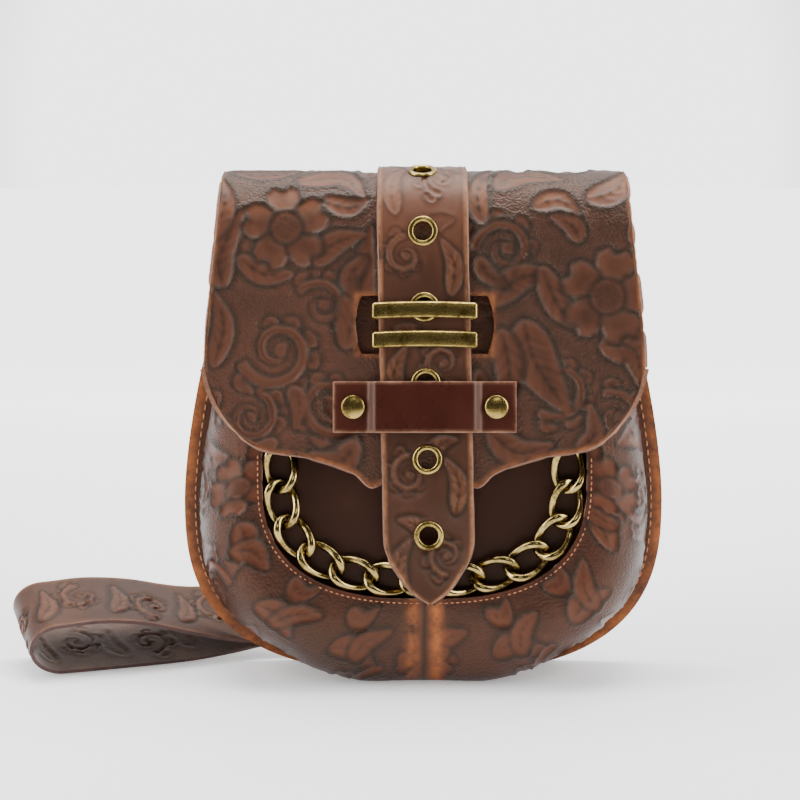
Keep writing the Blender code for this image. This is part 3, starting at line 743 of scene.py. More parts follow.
FLAP_LEATHER = Leather("tooled flap leather", (0.0035, 0.0011, 0.0007), (0.024, 0.0070, 0.0040),
                       (0.060, 0.0185, 0.0102), (0.26, 0.082, 0.026), 0.36, 0.6, Ground.PEBBLED)
BODY_LEATHER = Leather("tooled body leather", (0.0035, 0.001, 0.0006), (0.025, 0.0056, 0.0028), (0.062, 0.0155, 0.0070),
                       (0.36, 0.105, 0.028), 0.38, 0.5, Ground.PEBBLED)
STRAP_LEATHER = Leather("strap leather", (0.006, 0.002, 0.0011), (0.036, 0.0115, 0.0062), (0.085, 0.031, 0.0175),
                        (0.34, 0.14, 0.06), 0.36, 0.5)
KEEPER_LEATHER = Leather("smooth leather", (0.018, 0.003, 0.002), (0.034, 0.0062, 0.0038), (0.052, 0.0115, 0.0072),
                         (0.4, 0.2, 0.12), 0.30, 0.18)
INSERT_LEATHER = Leather("insert leather", (0.008, 0.0016, 0.001), (0.018, 0.0038, 0.0022), (0.034, 0.008, 0.0045),
                         (0.1, 0.03, 0.02), 0.42, 0.15)
RAW_EDGE = Fibre("cut leather edge", (0.22, 0.085, 0.036), (0.07, 0.024, 0.011))
DARK_EDGE = Fibre("dark cut edge", (0.075, 0.028, 0.022), (0.03, 0.01, 0.008))
SUEDE = Fibre("suede side", (0.13, 0.055, 0.024), (0.045, 0.018, 0.009), 900, 0.5)
THREAD = Fibre("waxed thread", (0.50, 0.19, 0.065), (0.26, 0.085, 0.03), 1500)
FITTING_BRASS = Brass("antique brass", (0.40, 0.285, 0.085), (0.085, 0.054, 0.014), 0.24)
CHAIN_BRASS = Brass("chain brass", (0.42, 0.31, 0.115), (0.060, 0.038, 0.012), 0.20)


def deselect() -> None:
    """Leaves edit mode and deselects everything."""
    if bpy.context.object and bpy.context.object.mode != "OBJECT":
        bpy.ops.object.mode_set(mode="OBJECT")
    bpy.ops.object.select_all(action="DESELECT")


def add_object(name: str, mesh: bpy.types.Mesh) -> bpy.types.Object:
    """A new object in the scene that holds a mesh."""
    made = bpy.data.objects.new(name, mesh)
    bpy.context.scene.collection.objects.link(made)
    return made


def finish_piece(piece: bpy.types.Object, replaced: tuple = (), angle: float = 40.0) -> bpy.types.Object:
    """Smooths, and makes a piece ride on the bag.

    Args:
        piece: the piece.
        replaced: CAD nodes that it stands for.
        angle: edges sharper than this stay sharp.

    Returns:
        The piece.
    """
    deselect()
    piece.select_set(True)
    bpy.context.view_layer.objects.active = piece
    bpy.ops.object.shade_smooth_by_angle(angle=math.radians(angle))
    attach(piece, "root")
    if replaced:
        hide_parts(*replaced)
    piece.data.calc_loop_triangles()
    LOG.info("%s: %d triangles", piece.name, len(piece.data.loop_triangles))
    return piece


def apply_modifiers(piece: bpy.types.Object) -> None:
    """Applies every modifier in order."""
    deselect()
    piece.select_set(True)
    bpy.context.view_layer.objects.active = piece
    for item in list(piece.modifiers):
        bpy.ops.object.modifier_apply(modifier=item.name)


def grid_sheet(name: str, places: np.ndarray) -> bpy.types.Object:
    """A grid primitive whose points are moved onto a surface.

    Args:
        name: the piece's name.
        places: an array of rows, columns and xyz.

    Returns:
        The sheet.
    """
    rows, columns = places.shape[:2]
    deselect()
    bpy.ops.mesh.primitive_grid_add(x_subdivisions=columns - 1, y_subdivisions=rows - 1, size=1.0,
                                    location=(0, 0, 0))
    made = bpy.context.object
    made.name = name
    made.data.name = name
    made.data.vertices.foreach_set("co", places.reshape(-1).astype(np.float32))
    made.data.update()
    return made


def mark(piece: bpy.types.Object, **values: np.ndarray) -> None:
    """Writes vertex attributes.

    Args:
        piece: the mesh object.
        values: one array for each name.
    """
    for key, data in values.items():
        layer = piece.data.attributes.new(key, "FLOAT", "POINT")
        layer.data.foreach_set("value", np.asarray(data, dtype=np.float32).reshape(-1))


def press(places: np.ndarray, height: np.ndarray, sign: float) -> np.ndarray:
    """Moves a grid of places along its own normals by a height in mm.

    Args:
        places: rows, columns and xyz.
        height: for each place.
        sign: 1 or -1, the side that is outwards.

    Returns:
        The moved places.
    """
    across = np.gradient(places, axis=1)
    along = np.gradient(places, axis=0)
    out = np.cross(across, along)
    out /= np.linalg.norm(out, axis=2)[:, :, None] + 1e-12
    return places + out * (sign * height * MM)[:, :, None]


def crisp(height: np.ndarray, reach: int = 4, gain: float = 0.95) -> np.ndarray:
    """How far each place stands above its surroundings: grooves dark, ridges light, partly as antique finish and partly
    as painted shade in the grooves and painted highlight on the ridges.

    Args:
        height: in mm.
        reach: grid steps of the surroundings.
        gain: contrast.

    Returns:
        A share from 0 to 1.
    """
    round_it = height.copy()
    for axis in (0, 1):
        round_it = sum(np.roll(round_it, k, axis=axis) for k in range(-reach, reach + 1)) / (2 * reach + 1)
    return np.clip(0.52 + gain * (height - round_it) + 0.02 * height, 0, 1)


def trim(piece: bpy.types.Object, inside: object, outline: np.ndarray, near: float) -> None:
    """Leaves out the faces inside an outline and draws the rim onto it.

    Args:
        piece: the sheet, still one layer.
        inside: takes the points' array and says which are inside.
        outline: dense points of the rim in space.
        near: rim points closer than this are moved.
    """
    mesh = bmesh.new()
    mesh.from_mesh(piece.data)
    centres = np.array([f.calc_center_median()[:] for f in mesh.faces])
    gone = inside(centres)
    bmesh.ops.delete(mesh, geom=[f for f, out in zip(mesh.faces, gone) if out], context="FACES")
    for vert in [v for v in mesh.verts if v.is_boundary]:
        away = np.linalg.norm(outline - np.array(vert.co[:]), axis=1)
        k = int(away.argmin())
        if away[k] < near:
            vert.co = Vector(outline[k])
    mesh.to_mesh(piece.data)
    mesh.free()


def wall(piece: bpy.types.Object, thickness: float, offset: float, faces: tuple) -> None:
    """Gives a sheet its thickness, its inner side and its cut edge.

    Args:
        piece: the sheet.
        thickness: of the leather.
        offset: -1 keeps the sheet as the outer side.
        faces: three materials: outside, inside and edge.
    """
    for item in faces:
        piece.data.materials.append(item)
    solid = piece.modifiers.new("wall", "SOLIDIFY")
    solid.thickness = thickness
    solid.offset = offset
    solid.use_even_offset = False
    solid.material_offset = 1
    solid.material_offset_rim = 2
    apply_modifiers(piece)


@dataclass
class Flap:
    """The tooled flap over the top, with its scalloped edge and the opening for the metal loops."""

    top_half: float = 91.6 * MM
    half: float = 98.5 * MM
    side_v: float = 150.0 * MM
    edge_v: float = 113.0 * MM
    tip_drop: float = 16.0 * MM
    cutout_v: float = 169.4 * MM
    cutout_half_height: float = 13.0 * MM
    cutout_half_width: float = 28.2 * MM
    cutout_bulge: float = 2.8 * MM
    columns: int = 195
    column_mm: float = 1.0
    row_mm: float = 0.8
    charted_v: float = 272.0

    def edge(self, share: float) -> tuple:
        """(x, v) on the lower boundary at a share from -1 to 1 across it."""
        table = ((0.00, 0.000, 0.0, 0.86), (0.17, 0.172, 0.0, 0.84), (0.24, 0.243, 0.0, 1.02),
                 (0.31, 0.310, 0.0, 0.66), (0.42, 0.430, 0.0, 0.36), (0.52, 0.550, 0.0, 0.16),
                 (0.66, 0.700, 0.0, 0.02), (0.78, 0.815, 0.13, 0.0), (0.88, 0.912, 0.42, 0.0),
                 (0.95, 0.968, 0.70, 0.0), (1.00, 1.000, 1.00, 0.0))
        place = abs(share)
        x = self.half * blend(table, place, 1)
        v = (self.edge_v + (self.side_v - self.edge_v) * blend(table, place, 2)
             - self.tip_drop * blend(table, place, 3))
        return math.copysign(x, share), v

    def chart(self) -> Tooling:
        """The flap's own layout of flowers, scrolls and leaves, in mm across and up the front.

        Returns:
            The finished chart.
        """
        c = Tooling((-104, 92), (104, 270))
        for row in FLAP_SCROLLS:
            c.scroll(*row)
        for row in FLAP_LEAVES:
            c.leaf(*row)
        for row in FLAP_FLOWERS:
            c.flower(*row)
        c.soften()
        return c

    def build(self) -> bpy.types.Object:
        """Makes the flap.

        Returns:
            The dressed piece.
        """
        chart = self.chart()
        lift = FLAP_LIFT + LEATHER
        straight = FACE_FOOT_Z + self.side_v * math.cos(FACE_LEAN)
        shares = np.linspace(-1, 1, self.columns)
        edge = [self.edge(float(s)) for s in shares]
        end = back_end_v(177.0 * MM)
        bend_end = bend_start_v() + 40 * MM
        upper = list(np.linspace(end, bend_end, 30)[:-1]) + list(np.linspace(bend_end, self.side_v, 116))
        rows = []
        flat = []
        for v in upper:
            p = over_top(v, lift)
            side = smooth_step(CREST_Z - p.z, 0.0, CREST_Z - straight) if p.y < BACK_Y / 2 else 0.0
            wide = self.top_half + (self.half - self.top_half) * side
            rows.append([(wide * ex / self.half, p.y, p.z) for ex, _ in edge])
            flat.append([(wide * ex / self.half, v) for ex, _ in edge])
        for k in range(1, 57):
            t = k / 56
            row, low = [], []
            for ex, ev in edge:
                v = self.side_v + (ev - self.side_v) * t
                row.append(face_point(ex, v, lift)[:])
                low.append((ex, v))
            rows.append(row)
            flat.append(low)
        places, at = np.array(rows), np.array(flat) / MM
        height = chart.read(at[:, :, 0], at[:, :, 1], chart.height)
        motif = chart.read(at[:, :, 0], at[:, :, 1], chart.motif)
        across = np.arange(self.columns)
        rim = np.minimum(np.minimum(across, across[::-1])[None, :] * self.column_mm,
                         np.arange(len(rows))[::-1][:, None] * self.row_mm)
        near = np.hypot(np.maximum(np.abs(at[:, :, 0]) - 30.0, 0),
                        np.maximum(np.abs(at[:, :, 1] - self.cutout_v / MM) - self.cutout_half_height / MM, 0))
        rim = np.minimum(rim, near)
        border = np.exp(-(rim / 1.6) ** 2)
        height = height * np.clip((self.charted_v - at[:, :, 1]) / 8, 0, 1)
        height = 1.75 * height * (1 - border) - 0.55 * np.exp(-(rim / 0.7) ** 2)
        places = press(places, height, 1.0)
        piece = grid_sheet("flap_tooled", places)
        relief = crisp(height)
        # painted highlight: raised tooling across the top bend, where the flap faces up to the lamps, gets the lighter
        # rubbed colour
        top = np.exp(-((at[:, :, 1] - 232) / 14) ** 2)
        wear = np.clip(border * 0.9 + 0.35 * top * (height > 0.1) + 0.05 * (height > 0.2), 0, 1)
        mark(piece, relief=relief, ground=1 - np.clip(motif, 0, 1), wear=wear)

        def in_cutout(points: np.ndarray) -> np.ndarray:
            """Which points lie in the opening for the loops."""
            v = (points[:, 2] - FACE_FOOT_Z - lift * math.sin(FACE_LEAN)) / math.cos(FACE_LEAN)
            up = (v - self.cutout_v) / self.cutout_half_height
            return (np.abs(up) < 1) & (np.abs(points[:, 0]) < self.cutout_half_width + self.cutout_bulge
                                       * (1 - up * up)) & (points[:, 1] < 0)

        side = [(self.cutout_half_width + self.cutout_bulge * (1 - u * u), self.cutout_v + self.cutout_half_height * u)
                for u in np.linspace(-1, 1, 120)]
        top_line = [(x, self.cutout_v + s * self.cutout_half_height) for s in (-1, 1)
                    for x in np.linspace(-self.cutout_half_width, self.cutout_half_width, 240)]
        outline = np.array([face_point(x, v, lift)[:] for x, v in side + [(-a, b) for a, b in side] + top_line])
        trim(piece, in_cutout, outline, 1.4 * MM)
        face_outwards(piece, Vector((0, 0.01, 0.13)))
        wall(piece, LEATHER, -1.0, (FLAP_LEATHER.make(), SUEDE.make(), RAW_EDGE.make()))
        return finish_piece(piece, ("flap",), 50)


def face_outwards(piece: bpy.types.Object, middle: Vector) -> None:
    """Flips a one-layer sheet when its faces point towards a middle point.

    Args:
        piece: the sheet.
        middle: a point inside it.
    """
    total = 0.0
    for polygon in list(piece.data.polygons)[::7]:
        total += polygon.normal.dot(Vector(polygon.center) - middle) * polygon.area
    if total < 0:
        piece.data.flip_normals()
        piece.data.update()


@dataclass
class Body:
    """The tooled front and gusset in one sheet, its raw flange, its seam and its window."""

    half_width: float = 112.8 * MM
    drop: float = 83.5 * MM
    roundness: float = 2.7
    mouth_half: float = 86.8 * MM
    flange: float = 9.0 * MM
    side: float = 26.0 * MM
    base: float = 38.0 * MM
    shoulder: float = 2.3
    sag: float = 14.0 * MM
    window_half: float = 73.0 * MM
    window_drop: float = 54.5 * MM
    window_rise: float = 34.0 * MM

    def outline(self) -> list:
        """(x, z) along the sewn edge, evenly spaced, from the left top to the right top."""
        right = []
        for k in range(241):
            turn = math.radians(90.0 * (1 - k / 240))
            across = max(math.cos(turn), 0.0) ** (2 / self.roundness) * self.half_width
            down = max(math.sin(turn), 0.0) ** (2 / self.roundness)
            right.append((across, max(WIDEST_Z - self.drop * down, 0.0)))
        for k in range(1, 121):
            z = WIDEST_Z + (MOUTH_Z - WIDEST_Z) * k / 120
            rise = (z - WIDEST_Z) / (MOUTH_Z - WIDEST_Z)
            right.append((self.half_width - (self.half_width - self.mouth_half) * rise ** 1.6, z))
        line = np.array([(-x, z) for x, z in reversed(right[1:])] + right)
        length = np.concatenate([[0], np.cumsum(np.linalg.norm(np.diff(line, axis=0), axis=1))])
        even = np.linspace(0, length[-1], 471)
        return list(zip(np.interp(even, length, line[:, 0]), np.interp(even, length, line[:, 1])))

    def window(self, inset: float, steps: int = 90) -> list:
        """(x, v) round the window's outline, moved inwards by inset."""
        loop = []
        for k in range(4 * steps):
            turn = 2 * math.pi * k / (4 * steps)
            upper = math.sin(turn) > 0
            reach = self.window_rise if upper else self.window_drop
            power = 2 / (5.0 if upper else 2.6)
            quarter = math.atan2(abs(math.sin(turn)), abs(math.cos(turn)))
            x = (self.window_half - inset) * max(math.cos(quarter), 0) ** power
            up = (reach - inset) * max(math.sin(quarter), 0) ** power
            loop.append((math.copysign(x, math.cos(turn)), WINDOW_MIDDLE + math.copysign(up, math.sin(turn))))
        return loop

    def row(self, x: float, z: float) -> list:
        """Points from the sewn edge at (x, z), over the shoulder, towards the middle line."""
        edge_y = BACK_Y - 2 * LEATHER - GAP
        target = max(z, WINDOW_MIDDLE)
        reach = math.hypot(x, target - z)
        across, up = -x / reach, (target - z) / reach
        width = self.side + (self.base - self.side) * up ** 2
        stations = [(self.flange * k / 7, 0.0) for k in range(8)]
        for k in range(1, 47):
            turn = math.radians(90.0 * k / 46)
            stations.append((self.flange + width * (1 - math.cos(turn) ** (2 / self.shoulder)),
                             math.sin(turn) ** (2 / self.shoulder)))
        start = self.flange + width
        stations += [(start + min((reach - start) * k / 34, 1.3 * MM * k + (reach - start - 44.2 * MM)
                                  * (k / 34) ** 6 if reach - start > 44.2 * MM else 1.0), 1.0)
                     for k in range(1, 35)]
        row = []
        for inward, share in stations:
            px, pz = x + across * inward, z + up * inward
            sag = self.sag * math.sin(math.pi * share ** 1.3) * (1 - smooth_step(abs(px), 22 * MM, 72 * MM))
            low = max(pz - sag * (1 - smooth_step(pz, self.window_drop * 0.6, WIDEST_Z)), 0.0)
            face_y = FACE_FOOT_Y + (pz - FACE_FOOT_Z) * math.tan(FACE_LEAN)
            row.append((px, edge_y + (face_y - edge_y) * share, low))
        return row

    def chart(self, length: float) -> Tooling:
        """A rolling scroll round the body: along the edge and inwards from it, in mm.

        Args:
            length: the edge's whole length in mm.

        Returns:
            The finished chart.
        """
        c = Tooling((0, 0), (length, 112))
        count = 12
        for k in range(count):
            x = length * (k + 0.5) / count
            hand = 1 if k % 2 else -1
            c.scroll(x, 36 + 7 * hand, 16, 90 * hand, hand, 1.3, 6, 6)
            c.leaf([(x + 22, 20), (x + 30, 34), (x + 27, 54)], 15, 5)
            c.leaf([(x + 16, 66), (x + 30, 70), (x + 44, 62)], 13, 4)
            c.leaf([(x - 18, 62), (x - 12, 74), (x + 4, 80)], 12, 4)
            c.leaf([(x + 18, 88), (x + 30, 84), (x + 40, 92)], 10, 3)
        for k in range(3):
            c.flower(length * (0.2 + 0.3 * k), 62, 17, 40 * k)
        c.soften()
        return c

    def build(self) -> bpy.types.Object:
        """Makes the front and gusset.

        Returns:
            The dressed piece.
        """
        outline = self.outline()
        places = np.array([self.row(float(x), float(z)) for x, z in outline])
        inward = np.concatenate([np.zeros((len(outline), 1)),
                                 np.cumsum(np.linalg.norm(np.diff(places, axis=1), axis=2), axis=1)], axis=1) / MM
        edge = np.array(outline)
        along = np.concatenate([[0], np.cumsum(np.linalg.norm(np.diff(edge, axis=0), axis=1))]) / MM
        chart = self.chart(float(along[-1]))
        u = np.repeat(along[:, None], places.shape[1], axis=1)
        height = chart.read(u, inward, chart.height)
        motif = chart.read(u, inward, chart.motif)
        seam_clear = np.array([[smooth_step(float(i), 8.0, 14.0) for i in line] for line in inward])
        x, z = places[:, :, 0] / MM, places[:, :, 2] / MM
        low = 1 / (1 + np.exp((z - 52) / 4))
        middle = np.exp(-(x / 1.1) ** 2) * low
        calm = np.clip(np.exp(-(x / 7) ** 2) * low, 0, 1)
        v = (places[:, :, 2] - FACE_FOOT_Z) / math.cos(FACE_LEAN) / MM
        rim_x = np.abs(x) / 73
        rim_v = np.where(v > 101, (v - 101) / 34, (101 - v) / 54.5)
        power = np.where(v > 101, 5.0, 2.6)
        rim = (rim_x ** power + np.maximum(rim_v, 0) ** power) ** (1 / power)
        near_rim = np.exp(-((rim - 1.0) / 0.05) ** 2)
        height = height * seam_clear * (1 - calm) * (1 - 0.8 * near_rim) * 1.65 - 0.9 * middle
        flat_foot = 1 - np.clip(1 - places[:, :, 2] / (3 * MM), 0, 1)
        height *= flat_foot
        places = press(places, height, 1.0)
        places[:, :, 2] = np.maximum(places[:, :, 2], 0.0)
        piece = grid_sheet("body_tooled", places)
        relief = crisp(height)
        fringe = np.exp(-(inward / 4.0) ** 2)
        seam_wear = np.exp(-((np.abs(x) - 5.5) / 3.0) ** 2) * low * 0.9
        ridge = np.exp(-((inward - 22) / 14) ** 2) * 0.28 * low
        mark(piece, relief=relief, ground=(1 - np.clip(motif, 0, 1)) * seam_clear * (1 - calm),
             wear=np.clip(fringe + seam_wear + ridge + 0.06 * (height > 0.15), 0, 1))

        def in_window(points: np.ndarray) -> np.ndarray:
            """Which points lie in the window."""
            pv = (points[:, 2] - FACE_FOOT_Z) / math.cos(FACE_LEAN)
            up = pv - WINDOW_MIDDLE
            p = np.where(up > 0, 5.0, 2.6)
            size = np.where(up > 0, self.window_rise, self.window_drop)
            return ((np.abs(points[:, 0]) / self.window_half) ** p + (np.abs(up) / size) ** p < 1) & (points[:, 1] < 0)

        rim_line = np.array([face_point(a, b, 0.0)[:] for a, b in self.window(0.0, 400)])
        trim(piece, in_window, rim_line, 2.2 * MM)
        face_outwards(piece, Vector((0, BACK_Y, WINDOW_MIDDLE)))
        wall(piece, LEATHER, -1.0, (BODY_LEATHER.make(), SUEDE.make(), RAW_EDGE.make()))
        return finish_piece(piece, ("front_frame",), 50)

    def stitches(self) -> list:
        """Makes the seam stitches round the flange and the small ones round the window."""
        edge_y = BACK_Y - 2 * LEATHER - GAP
        made = []
        pitch, start = 4.4 * MM, 5.0 * MM
        line = np.array(self.outline())
        length = np.concatenate([[0], np.cumsum(np.linalg.norm(np.diff(line, axis=0), axis=1))])
        spots = []
        for s in np.arange(start, length[-1] - start, pitch):
            a = np.array([np.interp(s, length, line[:, 0]), np.interp(s, length, line[:, 1])])
            b = np.array([np.interp(s + 2.6 * MM, length, line[:, 0]), np.interp(s + 2.6 * MM, length, line[:, 1])])
            along = (b - a) / (np.linalg.norm(b - a) + 1e-12)
            inward = np.array([-along[1], along[0]])
            m = (a + b) / 2 + inward * 5.2 * MM
            if m[1] > 2 * MM:
                spots.append((Vector((m[0], edge_y - 0.15 * MM, m[1])), Vector((along[0], 0, along[1])),
                              Vector((0, -1, 0))))
        made.append(stitch_run("seam_stitches", spots, 2.9 * MM, 0.85 * MM))
        s, c = math.sin(FACE_LEAN), math.cos(FACE_LEAN)
        loop = [p for p in self.window(-1.9 * MM, 400) if p[1] < 112 * MM]
        pts = np.array(loop)
        order = np.argsort(np.arctan2(pts[:, 0], 101 * MM - pts[:, 1] + 1e-9))
        pts = pts[order]
        length = np.concatenate([[0], np.cumsum(np.linalg.norm(np.diff(pts, axis=0), axis=1))])
        spots = []
        for d in np.arange(1 * MM, length[-1] - 3 * MM, 2.6 * MM):
            a = np.array([np.interp(d, length, pts[:, 0]), np.interp(d, length, pts[:, 1])])
            b = np.array([np.interp(d + 1.6 * MM, length, pts[:, 0]), np.interp(d + 1.6 * MM, length, pts[:, 1])])
            if np.linalg.norm(b - a) < 1.0 * MM or abs((a[0] + b[0]) / 2) < 1.5 * MM:
                continue
            pa, pb = face_point(a[0], a[1], 0.1 * MM), face_point(b[0], b[1], 0.1 * MM)
            spots.append(((pa + pb) / 2, (pb - pa).normalized(), Vector((0, -c, s))))
        made.append(stitch_run("window_stitches", spots, 1.7 * MM, 0.6 * MM))
        return [finish_piece(item, (), 60) for item in made]


def stitch_run(name: str, spots: list, length: float, width: float) -> bpy.types.Object:
    """One stitch modelled from a primitive, then copied along a seam into one mesh.

    Args:
        name: of the run.
        spots: (middle, along, outwards) for each stitch.
        length: of a stitch.
        width: of the thread.

    Returns:
        The run.
    """
    deselect()
    bpy.ops.mesh.primitive_uv_sphere_add(segments=8, ring_count=6, radius=0.5)
    model = bpy.context.object
    base = np.array([v.co[:] for v in model.data.vertices])
    base = np.sign(base) * np.abs(base * 2) ** 0.8 / 2
    faces = [tuple(p.vertices) for p in model.data.polygons]
    bpy.data.objects.remove(model, do_unlink=True)
    verts, polys = [], []
    for middle, along, out in spots:
        wide = out.cross(along).normalized()
        basis = np.array([along * length, wide * width, out * width])
        start = len(verts)
        verts += [tuple(p) for p in base @ basis + np.array(middle[:])]
        polys += [tuple(start + i for i in f) for f in faces]
    mesh = bpy.data.meshes.new(name)
    mesh.from_pydata(verts, [], polys)
    mesh.materials.append(THREAD.make())
    made = add_object(name, mesh)
    return made


@dataclass
class Strap:
    """The closure strap with its tooling, tapered tip, eyelets and metal loops."""

    width: float = 39.6 * MM
    taper_v: float = 75.0 * MM
    tip_v: float = 44.5 * MM
    pitch: float = 34.0 * MM
    first_v: float = 211.2 * MM
    outer: float = 13.5 * MM
    hole: float = 8.3 * MM
    barrel: float = 9.8 * MM
    proud: float = 1.2 * MM

    def lift(self, v: float) -> float:
        """Height of the strap's middle above the front face at v."""
        high = FLAP_LIFT + LEATHER + GAP + LEATHER / 2
        low = 2 * GAP + LEATHER / 2
        return low + (high - low) * smooth_step(v, self.tip_v + 5 * MM, 97 * MM)

    def shift(self, v: float) -> float:
        """How far the strap hangs to one side at v."""
        return (LOOP_V - v) * math.tan(STRAP_SKEW)

    def share(self, v: float) -> float:
        """Share of the strap's width at v."""
        table = ((0.0, 1.0), (0.15, 0.985), (0.33, 0.91), (0.55, 0.71), (0.80, 0.44), (1.0, 0.05))
        taper = (self.taper_v - v) / (self.taper_v - self.tip_v)
        return blend(table, taper, 1) if taper > 0 else 1.0

    def eyelet_matrix(self, index: int) -> Matrix:
        """Where an eyelet sits: local Z points out of the strap."""
        v = self.first_v + self.pitch * (2 - index)
        start = bend_start_v()
        if v <= start:
            s = (self.lift(v + MM) - self.lift(v - MM)) / (2 * MM)
            lean = FACE_LEAN - math.atan(s)
            point = face_point(self.shift(v), v, self.lift(v))
        else:
            centre_n = FLAP_LIFT + LEATHER / 2 - FRONT_BEND
            radius = self.lift(start) - centre_n
            lean = FACE_LEAN + (v - start) / radius
            point = face_point(0, start, centre_n) + Vector((0, -math.cos(lean), math.sin(lean))) * radius
            point.x = self.shift(start)
        return Matrix.Translation(point) @ Matrix.Rotation(math.radians(90) - lean, 4, "X")

    def chart(self) -> Tooling:
        """Scrolls and leaves down the strap, in mm.

        Returns:
            The finished chart.
        """
        c = Tooling((-22, 40), (22, 340), 0.4)
        for k, v in enumerate((62, 98, 148, 196, 232, 268, 304)):
            hand = 1 if k % 2 else -1
            c.scroll(-8 * hand, v + 4, 9, 90 * hand, hand, 1.2, 5, 5)
            c.leaf([(12 * hand, v - 14), (14 * hand, v), (8 * hand, v + 12)], 8, 3)
            c.leaf([(0, v + 12), (6 * hand, v + 18), (14 * hand, v + 20)], 7, 3)
        for side in (-1, 1):
            c.groove([(side * 17.6, 60), (side * 17.6, 340)], 0.3, 0.5)
        c.soften(1)
        return c

    def build(self) -> bpy.types.Object:
        """Makes the strap.

        Returns:
            The dressed piece.
        """
        chart = self.chart()
        half = self.width / 2
        end = back_end_v(181.0 * MM)
        top = bend_start_v()
        stations = list(np.linspace(end, top, 130)[:-1]) + list(np.linspace(top, self.tip_v, 200))
        shares = np.linspace(-1, 1, 53)
        rows, flat = [], []
        for v in stations:
            lift = self.lift(min(v, top)) + LEATHER / 2
            p = over_top(v, lift)
            shift = self.shift(min(v, top))
            wide = half * self.share(v)
            rows.append([(shift + wide * s, p.y, p.z) for s in shares])
            flat.append([(wide * s, v) for s in shares])
        places, at = np.array(rows), np.array(flat) / MM
        height = chart.read(at[:, :, 0], at[:, :, 1], chart.height) * 1.05 + 0.15
        rim = (1 - np.abs(shares))[None, :] * np.maximum(np.abs(at[:, :, 0]).max(axis=1), 1)[:, None]
        border = np.exp(-(rim / 1.2) ** 2)
        height = height * (1 - border) - 0.45 * np.exp(-(rim / 0.6) ** 2)
        for index in range(1, 7):
            v = (self.first_v + self.pitch * (2 - index)) / MM
            round_eyelet = np.hypot(at[:, :, 0], at[:, :, 1] - v)
            height = np.where(round_eyelet < 7.6, height * 0.1 - 0.05, height)
        places = press(places, height, 1.0)
        piece = grid_sheet("strap_tooled", places)
        # painted highlight: the strap is lightened from just below the top bend upwards and over it
        painted_top_highlight = np.clip((at[:, :, 1] - 190) / 60, 0, 0.35)
        mark(piece, relief=np.clip(crisp(height) - 0.06 + painted_top_highlight, 0, 1), ground=np.zeros_like(height),
             wear=np.clip(border * 1.0 + 0.2 * (height > 0.2), 0, 1))
        holes = [self.eyelet_matrix(k).inverted() for k in range(1, 7)]

        def in_holes(points: np.ndarray) -> np.ndarray:
            """Which points lie in an eyelet's hole."""
            gone = np.zeros(len(points), dtype=bool)
            for turn in holes:
                m = np.array(turn)
                local = points @ m[:3, :3].T + m[:3, 3]
                gone |= (np.hypot(local[:, 0], local[:, 1]) < 5.3 * MM) & (np.abs(local[:, 2]) < 6 * MM)
            return gone

        trim(piece, in_holes, np.array([[9.0, 9.0, 9.0]]), 0.0)
        face_outwards(piece, Vector((0, 0.01, 0.13)))
        wall(piece, LEATHER, -1.0, (STRAP_LEATHER.make(), SUEDE.make(), RAW_EDGE.make()))
        return finish_piece(piece, ("closure_strap",), 50)

    def eyelets(self) -> list:
        """Turns one rolled eyelet with the spin operator and sets six copies in the strap."""
        top, seat = LEATHER / 2 + self.proud, LEATHER / 2 + GAP
        outer, hole, barrel = self.outer / 2, self.hole / 2, self.barrel / 2
        middle, roll = (outer + hole) / 2, (outer - hole) / 2
        profile = [(middle + roll * math.cos(t), seat + (top - seat) * max(math.sin(t), 0.0))
                   for t in np.linspace(0, math.pi, 11)]
        profile += [(hole, -LEATHER / 2), (barrel, -LEATHER / 2), (barrel, seat)]
        return set_copies(spun("eyelet_model", profile, 48),
                          [(f"eyelet_rolled_{k}", f"eyelet_{k}", self.eyelet_matrix(k)) for k in range(1, 7)], 50)

    def metal_loop(self, name: str, node: str, v: float) -> bpy.types.Object:
        """A flat metal loop round the strap, with bevelled edges and a slight arch.

        Args:
            name: of the piece.
            node: that it stands for.
            v: its height up the face.

        Returns:
            The dressed piece.
        """
        inner_low = self.lift(v) - LEATHER / 2 - 1.3 * GAP
        inner_high = self.lift(v) + LEATHER / 2 + self.proud + 1.3 * GAP
        thick = 1.8 * MM
        low, high = inner_low - thick, inner_high + thick
        half_x, half_n = 47.5 * MM / 2, (high - low) / 2
        middle = (low + high) / 2
        path = []
        radius = 1.7 * MM
        for k in range(30):
            path.append((-half_x + radius + (2 * half_x - 2 * radius) * k / 29, half_n, 0.0, 1.0))
        for cx, cn, first in ((1, 1, 90), (1, -1, 0), (-1, -1, -90), (-1, 1, -180)):
            for k in range(1, 7):
                t = math.radians(first - 90 * k / 6)
                path.append((cx * (half_x - radius) + radius * math.cos(t), cn * (half_n - radius) + radius
                             * math.sin(t), math.cos(t), math.sin(t)))
            if cx == 1 and cn == -1:
                for k in range(1, 12):
                    path.append((half_x - radius - (2 * half_x - 2 * radius) * k / 12, -half_n, 0.0, -1.0))
        section = []
        h, b = 7.3 * MM / 2, 0.75 * MM
        for du, dn in ((-h, b), (-h + b, 0.0), (h - b, 0.0), (h, b), (h, thick - 0.3 * MM), (h - 0.3 * MM, thick),
                       (-h + 0.3 * MM, thick), (-h, thick - 0.3 * MM)):
            section.append((du, dn))
        work = bmesh.new()
        rings = []
        for x, n, ox, on in path:
            arch = 0.7 * MM * (1 - (x / half_x) ** 2) * (1 if on > 0.5 else 0)
            rings.append([work.verts.new(face_point(x - ox * dn, v + du + arch, middle + n - on * dn))
                          for du, dn in section])
        for a, c in zip(rings, rings[1:] + rings[:1]):
            for i in range(len(section)):
                j = (i + 1) % len(section)
                work.faces.new((a[i], a[j], c[j], c[i]))
